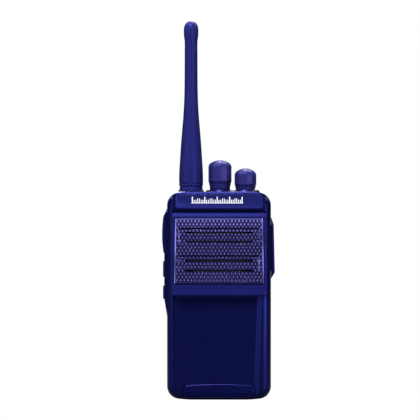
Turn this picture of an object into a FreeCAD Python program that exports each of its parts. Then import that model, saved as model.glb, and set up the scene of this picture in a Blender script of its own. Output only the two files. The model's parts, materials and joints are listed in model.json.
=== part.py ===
import FreeCAD, Part

import math
import os

# Handheld aviation radio, in millimetres.
#
# The radio stands on its base at z = 0. +X is its right side as the user faces it, -Y is its front
# (speaker grille), +Y its back (battery and belt clip) and +Z is up, along the antenna. The origin is
# the middle of the flat base of the housing.
#
# A bucket-shaped plastic housing carries the grille, keys, port cover and battery latch. A die-cast
# chassis closes its back and holds the circuit boards and the three fittings on top: antenna socket,
# channel switch and volume control. The battery pack slides up the back on rails.

# ---- driving dimensions -------------------------------------------------------------------------
BODY_HALF = 28.5            # half the width of the housing
BODY_TOP = 114.3            # height of the top deck
FLAT_HALF = 14.0            # half the flat stretch of the base and of the deck
CROWN_RADIUS = 60.0         # shallow curve from the flat stretch to the corner
CROWN_RUN = 8.5             # width of that curve
WALL = 1.8                  # housing wall

RAIL_FRONT = -15.0          # front plane of the two side rails
RAIL_ROUND = 4.5            # rounding of the rails' outer corners
FACET_START = 24.2          # each rail is planed off from here outwards
FACET_DEGREES = 15.5
HEAD_ROUND = 4.0            # rounding of the head's back edges
PANEL_FRONT = -13.4         # front plane of the recessed lower panel
PANEL_RIM = (24.1, 21.8)    # half width of the recess at its rim, under the ledge and at the base
PANEL_FLOOR = (21.0, 18.7)  # half width of its floor at the same two places
BEZEL_FRONT = -16.35        # front plane of the grille bezel
LEDGE_FRONT = -17.0         # the bezel swells out to here along its lower border
PAD_FRONT = -16.4           # front plane of the pad behind the name plate
PAD_BASE = 104.2            # lower edge of that pad; a deep groove runs below it
PAD_ROUND = (1.6, 0.5)      # rounding of its upper and lower front edges
PLATE_HALF = 24.0
PLATE_Z = (105.0, 112.6)
PLATE_THICK = 0.55
PLATE_CORNER = 1.3
BEZEL_SEAT = -14.2          # plane that the bezel is glued to
SPLIT_Y = 2.6               # back edge of the housing's side walls, and back of the chassis
HEAD_BASE = 93.0            # underside of the head, above the battery
HEAD_BACK = 14.0            # back of the head
BATTERY_FRONT = 2.9
BATTERY_SPLIT = 9.0         # joint between the two halves of the battery shell
BATTERY_BACK = 16.5
BATTERY_TOP = 92.6
BATTERY_HALF = 28.2

LEDGE_Z = 56.9              # lower edge of the bezel
BEZEL_TOP = 102.7
BEZEL_HALF = 25.5
LEDGE_BELLY = 57.9          # height where that border stands out furthest
BEZEL_BROW = (-15.3, 100.6) # the bezel's upper border slopes back to this plane from this height
GRILLE_Z = (63.3, 99.9)     # grille panel, bottom and top
GRILLE_HALF = (24.8, 24.2)  # its half width at the bottom and at the top
GRILLE_FRONT = -16.7
GRILLE_BACK = -15.6
TROUGHS_Z = ((70.2, 78.5), (86.0, 93.9))   # two bands that sit deeper than the rest of the grille
SLOTS_Z = (71.0, 76.5, 86.9, 91.9)         # sound slots, centre heights
SLOT_HALF = 18.8
SLOT_HEIGHT = 1.1
SPEAKER_Z = 81.6
SPEAKER_RADIUS = 18.0

CONTROL_Y = -1.0            # antenna and both knobs stand on this line
ANTENNA_X = -15.4
CHANNEL_X = 0.55
VOLUME_X = 14.6
BOSS_TOP = 115.2            # top of the collars that the knobs turn over
COLLAR_FLOOR = 114.4        # floor of the recess in each collar that the knob's foot turns in
KNOB_FOOT = 114.75
CHANNEL_TOP = 131.7
CHANNEL_GRIP = (5.6, 6.7, 119.3)   # neck radius, grip radius and height of the cone between
VOLUME_TOP = 127.2
VOLUME_GRIP = (5.2, 6.3, 117.6)
KNOB_DOME = 3.0             # the knob's domed top rises this much over its edge
ANTENNA_TIP = 208.5

CHASSIS_FRONT = 1.2
BOARD_Y = (-0.3, 0.9)
FLANGE_Z = (107.2, 109.6)   # chassis flange that carries the fittings on top
SHAFT_RADIUS = 3.0
SHAFT_FLAT = (2.2, 117.5)   # depth of the flat behind the shaft's axis, and its lower end
SHAFT_DROP = 3.7            # the shaft ends this far under its knob's top
LENS_PLACE = (7.6, -8.2)    # x and y of the status lamp's light pipe
SCREW_X = 22.0
SCREW_HEIGHTS = (14.0, 47.0)

KEY_Y = (-9.2, -0.8)        # side keys, front and back
KEY_CORNER = 1.4
KEY_FRAME_Y = (-10.4, 0.4)
KEY_FRAME_BACK = -27.0      # the frame is set into its window as deep as this
PTT_Z = (80.6, 101.4)
KEY_UPPER_Z = (67.3, 76.1)
KEY_LOWER_Z = (55.3, 62.6)
SMALL_KEY_INSET = 0.8       # the two small keys are this much narrower on each side
KEY_FRAME_Z = (46.4, 105.0)
KEY_FRAME_SLANT = (9.0, 3.4)    # lengths of the ramps at its lower and upper ends
KEY_BEZEL_OUT = -30.1
PTT_OUT = -31.3
PTT_CROWN = 68.0            # radius of the talk key's crowned face
SMALL_KEY_OUT = -30.8
KEY_CLEARANCE = 0.2
KEY_MAT_X = -24.55          # the keys reach this plane at the end of their travel

PORT_Y = -4.2               # axis plane of both jacks
PORT_LARGE_Z = 89.0         # 3.5 mm jack
PORT_SMALL_Z = 78.0         # 2.5 mm jack, 11 mm below it
PORT_LARGE_RADIUS = 1.8
PORT_SMALL_RADIUS = 1.3
PORT_FACE = 28.2
PORT_DEPTH = 12.0
COVER_Z = (66.6, 100.0)
COVER_FACE = ((30.7, 70.0), (30.1, 96.1))   # x and z of its outer face, bottom and top
COVER_BACK = 28.75
COVER_PIN = (29.0, 0.9)     # x and y of the cover's hinge axis
KNUCKLE_RADIUS = 1.3
HINGE_Z = (70.4, 96.0)      # ends of the hinge
EAR = 2.0                   # height of each ear

LATCH_HALF = (20.4, 19.0)   # half width of the thumb tab at its foot and at its shoulders
LATCH_SHOULDER = 8.0
LATCH_TOP = 8.9             # the tab's upper edge is arched up to this height
LATCH_FRONT = -14.95
LATCH_BACK = -13.0
LATCH_TOE = (-10.2, 1.3)    # back and top of the lip that the tab turns under the base
LATCH_CLEARANCE = 0.3
TONGUE_HALF = 12.0          # the latch tongue runs in a slot inside the housing's floor
TONGUE_Z = (1.5, 3.1)
LATCH_SPRING_X = 8.0
LATCH_SPRING_Z = 4.8
LATCH_SPRING_Y = (-9.4, -3.7)

CLIP_PIN_Y = 20.0
CLIP_PIN_Z = 104.0
CLIP_ARM = (22.3, 24.7)     # front and back planes of the arm's straight stretch
CLIP_TOP = 113.0
CLIP_HALF = 12.0
CLIP_SCREW_X = 6.2
CLIP_GROOVES = 4            # finger grooves across the thumb pad
CLIP_SCREW_Z = 99.4

MIC_PLACE = (14.0, 54.6)     # x and z of the microphone, in the shade of the ledge

RAIL_SEGMENTS = (14.0, 42.0, 70.0)   # lower ends of the battery rails
RAIL_LENGTH = 8.0

TERMINAL_X = (-5.5, 0.0, 5.5)
CHARGE_X = (-9.0, 9.0)      # the two charging contacts
CHARGE_Z = 12.0
LABEL = ((-17.0, 17.0), (17.6, 33.6))   # blank label on the back of the pack
LABEL_DEPTH = 0.3

FAR = 40.0                  # further out than any part of the body
X_AXIS = FreeCAD.Vector(1, 0, 0)
Y_AXIS = FreeCAD.Vector(0, 1, 0)
Z_AXIS = FreeCAD.Vector(0, 0, 1)
AXES = {"x": X_AXIS, "y": Y_AXIS, "z": Z_AXIS}


# ---- shape helpers ------------------------------------------------------------------------------
def point(axis, level, a, b):
    """A point at level along axis; a and b are its other two coordinates, in X, Y, Z order."""
    places = {"x": (level, a, b), "y": (a, level, b), "z": (a, b, level)}
    return FreeCAD.Vector(*places[axis])


def block(xs, ys, zs):
    """A box given by its (low, high) pairs."""
    return Part.makeBox(xs[1] - xs[0], ys[1] - ys[0], zs[1] - zs[0], FreeCAD.Vector(xs[0], ys[0], zs[0]))


def rod(axis, a, b, start, end, radius):
    """A cylinder along axis from start to end; a and b place it across the axis."""
    return Part.makeCylinder(radius, end - start, point(axis, start, a, b), AXES[axis])


def ring(axis, a, b, start, end, outer, inner):
    """A tube along axis."""
    return rod(axis, a, b, start, end, outer).cut(rod(axis, a, b, start - 1, end + 1, inner))


def between(low, high):
    """Everything between two heights."""
    return block((-FAR, FAR), (-FAR, FAR), (low, high))


def prism(points, axis, start, end):
    """A polygon of (a, b) points, extruded along axis from start to end."""
    corners = [point(axis, start, a, b) for a, b in points]
    face = Part.Face(Part.makePolygon(corners + corners[:1]))
    return face.extrude(AXES[axis] * (end - start))


def turned(points, x, y):
    """A solid of revolution about a vertical axis at x, y, from (radius, z) points."""
    corners = [FreeCAD.Vector(x + radius, y, z) for radius, z in points]
    face = Part.Face(Part.makePolygon(corners + corners[:1]))
    return face.revolve(FreeCAD.Vector(x, y, 0), Z_AXIS, 360)


def turned_y(points, x, z):
    """A solid of revolution about an axis along Y at x, z, from (radius, y) points."""
    corners = [FreeCAD.Vector(x + radius, y, z) for radius, y in points]
    face = Part.Face(Part.makePolygon(corners + corners[:1]))
    return face.revolve(FreeCAD.Vector(x, 0, z), Y_AXIS, 360)


def edges_along(shape, axis):
    """The straight edges of a shape that run along axis."""
    found = []
    for edge in shape.Edges:
        if isinstance(edge.Curve, Part.Line) and abs(edge.Curve.Direction.dot(AXES[axis])) > 0.999:
            found.append(edge)
    return found


def edges_at(shape, axis, level):
    """The edges of a shape that lie in the plane at level along axis."""
    low, high = {"x": ("XMin", "XMax"), "y": ("YMin", "YMax"), "z": ("ZMin", "ZMax")}[axis]
    found = []
    for edge in shape.Edges:
        box = edge.BoundBox
        if abs(getattr(box, low) - level) < 1e-3 and abs(getattr(box, high) - level) < 1e-3:
            found.append(edge)
    return found


def rounded(xs, ys, zs, axis, radius):
    """A box whose four edges along axis are rounded."""
    solid = block(xs, ys, zs)
    return solid.makeFillet(radius, edges_along(solid, axis))


def softened(shape, radius, axis, level):
    """The shape with the edges in one of its faces rounded."""
    return shape.makeFillet(radius, edges_at(shape, axis, level))


def joined(first, *others):
    """One solid from several that overlap."""
    return first.multiFuse(list(others)).removeSplitter()


def without(shape, *tools):
    """The shape less every tool."""
    for tool in tools:
        shape = shape.cut(tool)
    return shape


def body_outline(half, top, inset, y):
    """The front outline of the body at depth y: a flat base, a shallow crown, a round corner and a
    straight side, the same at the top. inset draws it that much smaller all round."""
    slope = math.asin(CROWN_RUN / CROWN_RADIUS)
    corner = (half - FLAT_HALF - CROWN_RUN) / (1 - math.sin(slope))
    crown_x, crown_z = FLAT_HALF, CROWN_RADIUS
    corner_x = crown_x + (CROWN_RADIUS - corner) * math.sin(slope)
    corner_z = crown_z - (CROWN_RADIUS - corner) * math.cos(slope)

    def on_arc(x, z, radius, angle):
        return x + radius * math.sin(angle), z - radius * math.cos(angle)

    crown = [on_arc(crown_x, crown_z, CROWN_RADIUS - inset, slope * share) for share in (0, 0.5, 1)]
    middle_angle = (slope + math.pi / 2) / 2
    bend = [on_arc(corner_x, corner_z, corner - inset, angle) for angle in (slope, middle_angle, math.pi / 2)]
    edges = []

    def place(spot, side, end):
        return FreeCAD.Vector(side * spot[0], y, spot[1] if end < 0 else top - spot[1])

    for side in (1, -1):
        for end in (-1, 1):
            for arc in (crown, bend):
                edges.append(Part.Arc(*[place(spot, side, end) for spot in arc]).toShape())
        edges.append(Part.makeLine(place(bend[2], side, -1), place(bend[2], side, 1)))
    for end in (-1, 1):
        edges.append(Part.makeLine(place(crown[0], 1, end), place(crown[0], -1, end)))
    return Part.Wire(Part.__sortEdges__(edges))


def body_slab(half, top, inset, front, back):
    """A solid of the body's outline between two depths."""
    return Part.Face(body_outline(half, top, inset, front)).extrude(Y_AXIS * (back - front))


def coil(radius, wire, pitch, height, start, direction):
    """A coil spring of round wire that stands at start and runs along direction."""
    helix = Part.makeHelix(pitch, height, radius)
    section = Part.Wire(Part.makeCircle(wire / 2, FreeCAD.Vector(radius, 0, 0), Y_AXIS))
    spring = Part.Wire(helix.Edges).makePipeShell([section], True, True)
    turn = FreeCAD.Rotation(Z_AXIS, direction)
    spring.Placement = FreeCAD.Placement(start, turn)
    return spring


# ---- housing and what is fixed to its front -----------------------------------------------------
def screw_places():
    """The (x, z) places of the four chassis screws."""
    return [(side * SCREW_X, z) for side in (-1, 1) for z in SCREW_HEIGHTS]


def rail_facet(side):
    """The wedge that is planed off one rail's rounded front corner."""
    reach = BODY_HALF - FACET_START
    fall = reach * math.tan(math.radians(FACET_DEGREES))
    corners = [(FACET_START, RAIL_FRONT), (BODY_HALF, RAIL_FRONT + fall),
               (BODY_HALF, RAIL_FRONT - 1), (FACET_START, RAIL_FRONT - 1)]
    return prism([(side * x, y) for x, y in corners], "z", 0, BODY_TOP)


def front_housing():
    """The bucket-shaped main casing, with its raised pad, control collars, windows and bosses."""
    shell = body_slab(BODY_HALF, BODY_TOP, 0, RAIL_FRONT, HEAD_BACK)
    shell = softened(shell, RAIL_ROUND, "y", RAIL_FRONT)
    shell = softened(shell, HEAD_ROUND, "y", HEAD_BACK)
    shell = without(shell, rail_facet(-1), rail_facet(1), block((-FAR, FAR), (SPLIT_Y, 40), (-1, HEAD_BASE)))

    pad = block((-BEZEL_HALF, BEZEL_HALF), (PAD_FRONT, -9.0), (PAD_BASE, BODY_TOP))
    pad = pad.makeFillet(0.6, edges_along(pad, "z"))
    front_top = [e for e in edges_at(pad, "z", BODY_TOP) if e.BoundBox.YMin < -12]
    pad = pad.makeFillet(PAD_ROUND[0], front_top)
    front_base = [e for e in edges_at(pad, "z", PAD_BASE) if e.BoundBox.YMax < -12]
    pad = pad.makeFillet(PAD_ROUND[1], front_base)
    shell = joined(shell, pad.common(body_slab(BODY_HALF, BODY_TOP, 0.02, -20, 0)))

    collars = [Part.makeCone(8.6, 7.3, 2.0, FreeCAD.Vector(x, CONTROL_Y, BOSS_TOP - 2.0))
               for x in (CHANNEL_X, VOLUME_X)]
    shell = joined(shell, *collars)

    upper = body_slab(BODY_HALF, BODY_TOP, WALL, -13.2, SPLIT_Y + 0.1)
    upper = softened(upper, 2.7, "y", -13.2)
    upper = upper.common(between(59.0, 200))
    lower = body_slab(BODY_HALF, BODY_TOP, WALL, -11.4, SPLIT_Y + 1)
    lower = softened(lower, 2.0, "y", -11.4)
    lower = lower.common(between(6.8, 59.0))
    head = body_slab(BODY_HALF, BODY_TOP, WALL, SPLIT_Y, HEAD_BACK - WALL)
    head = head.common(between(HEAD_BASE + 2.0, 200))
    shell = without(shell, upper, lower, head)

    # The lower panel: a shallow recess with sloping sides, narrower towards the base, that runs out
    # at the bottom edge.
    wires = []
    for y, (high, low) in ((RAIL_FRONT - 0.2, PANEL_RIM), (PANEL_FRONT, PANEL_FLOOR)):
        corners = ((-high, LEDGE_Z - 0.1), (high, LEDGE_Z - 0.1), (low, -2), (-low, -2))
        places = [FreeCAD.Vector(x, y, z) for x, z in corners]
        wires.append(Part.makePolygon(places + places[:1]))
    recess = Part.makeLoft(wires, True, True)
    seat = block((-BEZEL_HALF - 0.1, BEZEL_HALF + 0.1), (-20, BEZEL_SEAT), (LEDGE_Z - 0.1, PAD_BASE - 0.05))
    sound = rounded((-17, 17), (-20, -12), (68.0, 95.2), "y", 5.0)
    mic_hole = rod("y", *MIC_PLACE, -20, -10, 0.4)
    shell = without(shell, recess, seat, sound, mic_hole)

    # Room for the battery latch: its thumb tab in front, and its tongue and springs in the floor.
    gap = LATCH_CLEARANCE
    tab_room = latch_outline(gap).extrude(Y_AXIS * (20 + LATCH_BACK + 0.2))
    foot = LATCH_HALF[0] + gap
    toe_room = block((-foot, foot), (-20, LATCH_TOE[0] + gap), (-1, LATCH_TOE[1] + gap))
    tongue_room = block((-TONGUE_HALF - gap, TONGUE_HALF + gap), (-14, SPLIT_Y + 1),
                        (TONGUE_Z[0] - gap, TONGUE_Z[1] + gap))
    pockets = [rod("y", x, LATCH_SPRING_Z, LATCH_SPRING_Y[0] - 0.1, -2.0, 1.5)
               for x in (-LATCH_SPRING_X, LATCH_SPRING_X)]
    slots = [block((x - 1.1, x + 1.1), (LATCH_SPRING_Y[1] - 2.5, -2.0), (TONGUE_Z[1], LATCH_SPRING_Z))
             for x in (-LATCH_SPRING_X, LATCH_SPRING_X)]
    shell = without(shell, tab_room, toe_room, tongue_room, *pockets, *slots)

    for x in (CHANNEL_X, VOLUME_X):
        shell = shell.cut(rod("z", x, CONTROL_Y, 110, 120, 4.2))
        shell = shell.cut(rod("z", x, CONTROL_Y, COLLAR_FLOOR, 120, CHANNEL_GRIP[0] + 0.45))
    shell = shell.cut(rod("z", ANTENNA_X, CONTROL_Y, 110, 120, 5.0))
    shell = shell.cut(rod("z", *LENS_PLACE, 110, 120, 1.6))

    window_y = (KEY_FRAME_Y[0] - 0.1, KEY_FRAME_Y[1] + 0.1)
    window_z = (KEY_FRAME_Z[0] - 0.1, KEY_FRAME_Z[1] + 0.1)
    key_window = rounded((-32, -25), window_y, window_z, "x", 3.0)
    port_window = block((25, 32), (-7.8, -0.6), (70.6, 96.4))
    groove = rod("z", *COVER_PIN, HINGE_Z[0], HINGE_Z[1], KNUCKLE_RADIUS + 0.25)
    shell = without(shell, key_window, port_window, groove)
    ear_front, ear_back = COVER_PIN[1] - KNUCKLE_RADIUS, COVER_PIN[1] + KNUCKLE_RADIUS
    for low in (HINGE_Z[0], HINGE_Z[1] - EAR):
        root = block((26.8, COVER_PIN[0]), (ear_front, ear_back), (low, low + EAR))
        shell = joined(shell, root, rod("z", *COVER_PIN, low, low + EAR, KNUCKLE_RADIUS))
    shell = shell.cut(rod("z", *COVER_PIN, 60, 110, 0.62))

    for x, z in screw_places():
        post = rod("y", x, z, -12.0, -0.5, 3.0)
        shell = joined(shell, post).cut(rod("y", x, z, -7.5, 5, 1.25))
    for x in (-CLIP_SCREW_X, CLIP_SCREW_X):
        post = rod("y", x, CLIP_SCREW_Z, 11.2, HEAD_BACK - 1, 3.0)
        shell = joined(shell, post).cut(rod("y", x, CLIP_SCREW_Z, 11.0, 20, 1.25))
    return shell


def grille_bezel():
    """The raised frame around the speaker grille; its lower border is the ledge over the panel."""
    side = [
        (BEZEL_SEAT, LEDGE_Z), (LEDGE_FRONT + 0.5, LEDGE_Z), (LEDGE_FRONT, LEDGE_BELLY),
        (BEZEL_FRONT, GRILLE_Z[0] - 0.4), (BEZEL_FRONT, BEZEL_BROW[1]), (BEZEL_BROW[0], BEZEL_TOP),
        (BEZEL_SEAT, BEZEL_TOP),
    ]
    plate = prism(side, "x", -BEZEL_HALF, BEZEL_HALF)
    plate = plate.common(rounded((-BEZEL_HALF, BEZEL_HALF), (-20, -10), (LEDGE_Z, BEZEL_TOP), "y", 1.2))
    pocket = grille_outline(0.15).extrude(Y_AXIS * 20).cut(block((-FAR, FAR), (GRILLE_BACK, 20), (0, 200)))
    plate = plate.cut(pocket)
    for z in SLOTS_Z:
        half = SLOT_HEIGHT / 2 + 0.3
        plate = plate.cut(block((-SLOT_HALF, SLOT_HALF), (-20, -10), (z - half, z + half)))
    return plate


def grille_outline(gap):
    """The grille's front outline as a face in front of the body, larger by gap all round."""
    bottom, top = GRILLE_Z[0] - gap, GRILLE_Z[1] + gap
    low, high = GRILLE_HALF[0] + gap, GRILLE_HALF[1] + gap
    outline = ((-low, bottom), (low, bottom), (high, top), (-high, top))
    corners = [FreeCAD.Vector(x, -20, z) for x, z in outline]
    return Part.Face(Part.makePolygon(corners + corners[:1]))


def speaker_grille():
    """The grille panel, with two deeper bands and four sound slots."""
    panel = grille_outline(0).extrude(Y_AXIS * 20)
    panel = panel.common(block((-FAR, FAR), (GRILLE_FRONT, GRILLE_BACK), (0, 200)))
    panel = panel.makeFillet(0.9, [e for e in panel.Edges if abs(e.tangentAt(e.FirstParameter).y) > 0.99])
    for low, high in TROUGHS_Z:
        corners = [(-22.2, low), (22.2, low), (21.6, high), (-21.6, high)]
        panel = panel.cut(prism(corners, "y", GRILLE_FRONT - 1, GRILLE_FRONT + 0.45))
    for z in SLOTS_Z:
        half = SLOT_HEIGHT / 2
        panel = panel.cut(block((-SLOT_HALF, SLOT_HALF), (-20, -10), (z - half, z + half)))
    return panel


def name_plate():
    """The blank plate across the head."""
    front = PAD_FRONT - PLATE_THICK
    plate = rounded((-PLATE_HALF, PLATE_HALF), (front, PAD_FRONT), PLATE_Z, "y", PLATE_CORNER)
    return softened(plate, 0.25, "y", front)


def status_lens():
    """The light pipe of the status lamp, on the deck between the two knobs."""
    dome = turned([(0, 112.0), (1.5, 112.0), (1.5, 114.5), (1.0, 114.9), (0, 115.0)], *LENS_PLACE)
    foot = rod("z", *LENS_PLACE, 111.4, 112.4, 2.2)
    return joined(dome, foot)


# ---- side keys ----------------------------------------------------------------------------------
def key_bezel():
    """The raised frame that the three side keys look out of."""
    foot, head = KEY_FRAME_Z
    wall_face = -BODY_HALF - 0.1
    ramps = [(KEY_FRAME_BACK, foot), (wall_face, foot), (KEY_BEZEL_OUT, foot + KEY_FRAME_SLANT[0]),
             (KEY_BEZEL_OUT, head - KEY_FRAME_SLANT[1]), (wall_face, head), (KEY_FRAME_BACK, head)]
    frame = rounded((KEY_BEZEL_OUT - 1, KEY_FRAME_BACK), KEY_FRAME_Y, KEY_FRAME_Z, "x", 2.9)
    frame = frame.common(prism(ramps, "y", -11, 1))
    frame = softened(frame, 0.8, "x", KEY_BEZEL_OUT)
    windows = [
        (KEY_Y[0], KEY_Y[1], *PTT_Z),
        (KEY_Y[0] + SMALL_KEY_INSET, KEY_Y[1] - SMALL_KEY_INSET, *KEY_UPPER_Z),
        (KEY_Y[0] + SMALL_KEY_INSET, KEY_Y[1] - SMALL_KEY_INSET, *KEY_LOWER_Z),
    ]
    gap = KEY_CLEARANCE
    for front, back, low, high in windows:
        hole = rounded((-40, -20), (front - gap, back + gap), (low - gap, high + gap), "x", KEY_CORNER + gap)
        frame = frame.cut(hole)
    return frame


def side_key(zs, inset, outer, travel, edge, crown=None):
    """A key cap with a retaining flange inside the wall and a stem towards its dome switch. crown is
    the radius that its face is arched to, or None for a flat one."""
    front, back = KEY_Y[0] + inset, KEY_Y[1] - inset
    cap = rounded((outer, -26.5), (front, back), zs, "x", KEY_CORNER)
    cap = softened(cap, edge, "x", outer)
    if crown:
        cap = cap.common(rod("y", outer + crown, (zs[0] + zs[1]) / 2, front - 1, back + 1, crown))
    flange = block((-26.9, -26.1), (front - 0.7, back + 0.7), (zs[0] - 0.7, zs[1] + 0.7))
    middle = (zs[0] + zs[1]) / 2
    stem = rod("x", (front + back) / 2, middle, -26.4, KEY_MAT_X - travel, 1.6)
    return joined(cap, flange, stem)


def key_centres():
    """The (y, z) centre of each of the three dome switches."""
    y = (KEY_Y[0] + KEY_Y[1]) / 2
    return [(y, sum(zs) / 2) for zs in (PTT_Z, KEY_UPPER_Z, KEY_LOWER_Z)]


def key_mat():
    """The rubber sheet between the keys and their switches, hollow over each dome."""
    mat = rounded((KEY_MAT_X + 0.05, -23.6), (-9.6, -0.6), (53.4, 104.0), "x", 2.0)
    for y, z in key_centres():
        mat = mat.cut(rod("x", y, z, -24.1, -23, 2.8))
    return mat


def side_switch_board():
    """The small board behind the key mat."""
    return rounded((-23.5, -22.7), (-9.6, -0.6), (53.4, 104.0), "x", 1.0)


def dome_switches():
    """Three snap domes on the side board."""
    domes = [Part.makeCone(2.5, 1.6, 0.4, FreeCAD.Vector(-23.5, y, z), -X_AXIS) for y, z in key_centres()]
    return Part.makeCompound(domes)


# ---- accessory port -----------------------------------------------------------------------------
def accessory_jack():
    """The socket block with a 3.5 mm and a 2.5 mm jack, open to the right side."""
    socket = block((14.4, PORT_FACE), (PORT_Y - 3.4, PORT_Y + 3.4), (70.8, 96.2))
    sockets = ((PORT_LARGE_Z, PORT_LARGE_RADIUS), (PORT_SMALL_Z, PORT_SMALL_RADIUS))
    for z, radius in sockets:
        socket = socket.cut(rod("x", PORT_Y, z, PORT_FACE - PORT_DEPTH, 40, radius))
    return socket


def accessory_cover():
    """The door over the jacks: a plate with ramped ends, and its hinge knuckle along the back edge."""
    (foot_x, foot_z), (head_x, head_z) = COVER_FACE
    profile = [(COVER_BACK, COVER_Z[0]), (foot_x, foot_z), (head_x, head_z), (COVER_BACK, COVER_Z[1])]
    plate = prism(profile, "y", -9.8, -0.75)
    long_edges = [e for e in plate.Edges if e.BoundBox.XMin > 30.0 and e.BoundBox.ZLength > 20]
    plate = plate.makeFillet(0.9, long_edges)
    low, high = HINGE_Z[0] + EAR + 0.3, HINGE_Z[1] - EAR - 0.3
    web = block((COVER_BACK, COVER_PIN[0] + KNUCKLE_RADIUS - 0.3), (-1.6, COVER_PIN[1]), (low, high))
    door = joined(plate, web, rod("z", *COVER_PIN, low, high, KNUCKLE_RADIUS))
    return door.cut(rod("z", *COVER_PIN, 60, 110, 0.66))


def cover_pin():
    """The steel pin that the cover swings on."""
    return rod("z", *COVER_PIN, HINGE_Z[0] + 0.1, HINGE_Z[1] - 0.1, 0.6)


# ---- chassis and electronics --------------------------------------------------------------------
def chassis():
    """The die-cast back: a plate behind the board, a stepped head and a flange for the fittings."""
    plate = rounded((-26.3, 26.3), (CHASSIS_FRONT, SPLIT_Y - 0.02), (7.0, 97.3), "y", 5.5)
    shelf = block((-24, 24), (CHASSIS_FRONT, 11.0), (95.8, 97.3))
    wall = block((-24, 24), (9.6, 11.0), (95.8, FLANGE_Z[1]))
    flange = block((-23, 23), (-9.0, 11.0), FLANGE_Z)
    casting = joined(plate, shelf, wall, flange)
    casting = casting.cut(rod("z", ANTENNA_X, CONTROL_Y, 100, 120, 4.75))
    for x in (CHANNEL_X, VOLUME_X):
        casting = casting.cut(rod("z", x, CONTROL_Y, 100, 120, 3.6))
    for x, z in screw_places():
        cup = rod("y", x, z, -0.4, SPLIT_Y - 0.02, 3.3)
        casting = joined(casting, cup)
        casting = without(casting, rod("y", x, z, 1.0, 5, 2.4), rod("y", x, z, -2, 5, 1.4))
    for side in (-1, 1):
        for low in RAIL_SEGMENTS:
            stem = block((24.9, 26.1), (2.0, 5.0), (low, low + RAIL_LENGTH))
            lip = block((23.9, 26.1), (3.8, 5.0), (low, low + RAIL_LENGTH))
            rail = joined(stem, lip)
            if side < 0:
                rail = rail.mirror(FreeCAD.Vector(), X_AXIS)
            casting = joined(casting, rail)
    return casting.cut(block((-9.2, 9.2), (-5, 10), (77.8, 86.2)))


def chassis_seal():
    """The rubber ring between the chassis and the housing."""
    outer = rounded((-26.5, 26.5), (-0.1, 1.15), (7.0, 97.5), "y", 6.0)
    inner = rounded((-25.4, 25.4), (-2, 3), (8.2, 96.2), "y", 4.9)
    return outer.cut(inner)


def chassis_screws():
    """Four cross-head screws that hold the chassis to the housing."""
    screws = []
    for x, z in screw_places():
        head = rod("y", x, z, 1.02, 2.5, 2.1)
        shank = rod("y", x, z, -6.5, 1.1, 1.2)
        cross = joined(
            block((x - 1.3, x + 1.3), (1.8, 3), (z - 0.25, z + 0.25)),
            block((x - 0.25, x + 0.25), (1.8, 3), (z - 1.3, z + 1.3)),
        )
        screws.append(joined(head, shank).cut(cross))
    return Part.makeCompound(screws)


def main_board():
    """The main circuit board, notched around the screw posts."""
    board = rounded((-24.9, 24.9), BOARD_Y, (9.0, 94.6), "y", 4.5)
    for x, z in screw_places():
        board = board.cut(rod("y", x, z, -5, 5, 3.6))
    return board


def shield_cans():
    """Three tinned cans over the radio-frequency parts of the board."""
    places = (((-17.5, 1.0), (20.0, 42.0)), ((3.0, 17.5), (20.0, 34.0)), ((-12.0, 12.0), (52.5, 62.5)))
    cans = []
    for xs, zs in places:
        can = rounded(xs, (-3.1, BOARD_Y[0]), zs, "y", 0.8)
        room = block((xs[0] + 0.3, xs[1] - 0.3), (-2.8, 1), (zs[0] + 0.3, zs[1] - 0.3))
        cans.append(can.cut(room))
    return Part.makeCompound(cans)


def board_components():
    """Packaged parts on the front of the board: processor, audio amplifier, regulator and crystal."""
    places = (
        ((5.0, 13.0), (38.0, 46.0), 1.0), ((-15.0, -9.5), (45.5, 50.5), 1.4),
        ((-4.0, 1.5), (45.0, 49.5), 1.2), ((16.0, 19.5), (36.5, 42.0), 1.6),
        ((-6.0, 6.0), (10.0, 16.0), 2.4), ((10.0, 15.5), (10.5, 17.0), 1.8),
    )
    return Part.makeCompound([block(xs, (BOARD_Y[0] - t, BOARD_Y[0]), zs) for xs, zs, t in places])


def contact_block():
    """The insulator in the chassis window that carries the battery contacts."""
    return joined(
        block((-9.0, 9.0), (BOARD_Y[1] + 0.05, SPLIT_Y), (78.0, 86.0)),
        block((-10.5, 10.5), (BOARD_Y[1] + 0.05, CHASSIS_FRONT - 0.05), (76.6, 87.4)),
    )


def contact_pins():
    """Three gilded contacts that meet the battery's terminals."""
    pins = []
    for x in TERMINAL_X:
        bump = Part.makeCone(1.5, 0.9, 0.6, FreeCAD.Vector(x, SPLIT_Y, 82.0), Y_AXIS)
        pins.append(bump)
    return Part.makeCompound(pins)


def control_board():
    """The small board under the channel switch and the volume control."""
    return rounded((-8.0, 22.0), (-8.0, 6.4), (97.9, 99.1), "z", 1.0)


def rotary_body(x):
    """A rotary switch or potentiometer: a square case with a threaded neck, bored for its shaft."""
    half = 5.6
    ys = (CONTROL_Y - half, CONTROL_Y + half)
    case = rounded((x - half, x + half), ys, (99.2, FLANGE_Z[0] - 0.05), "z", 0.8)
    neck = rod("z", x, CONTROL_Y, 107.0, 114.6, 3.5)
    return joined(case, neck).cut(rod("z", x, CONTROL_Y, 100.4, 120, SHAFT_RADIUS + 0.06))


def rotary_shaft(x, top):
    """A control shaft with a flat on its upper end."""
    depth, low = SHAFT_FLAT
    shaft = rod("z", x, CONTROL_Y, 100.6, top, SHAFT_RADIUS)
    flat = block((x - 5, x + 5), (CONTROL_Y + depth, CONTROL_Y + 5), (low, top + 1))
    return shaft.cut(flat)


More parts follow.
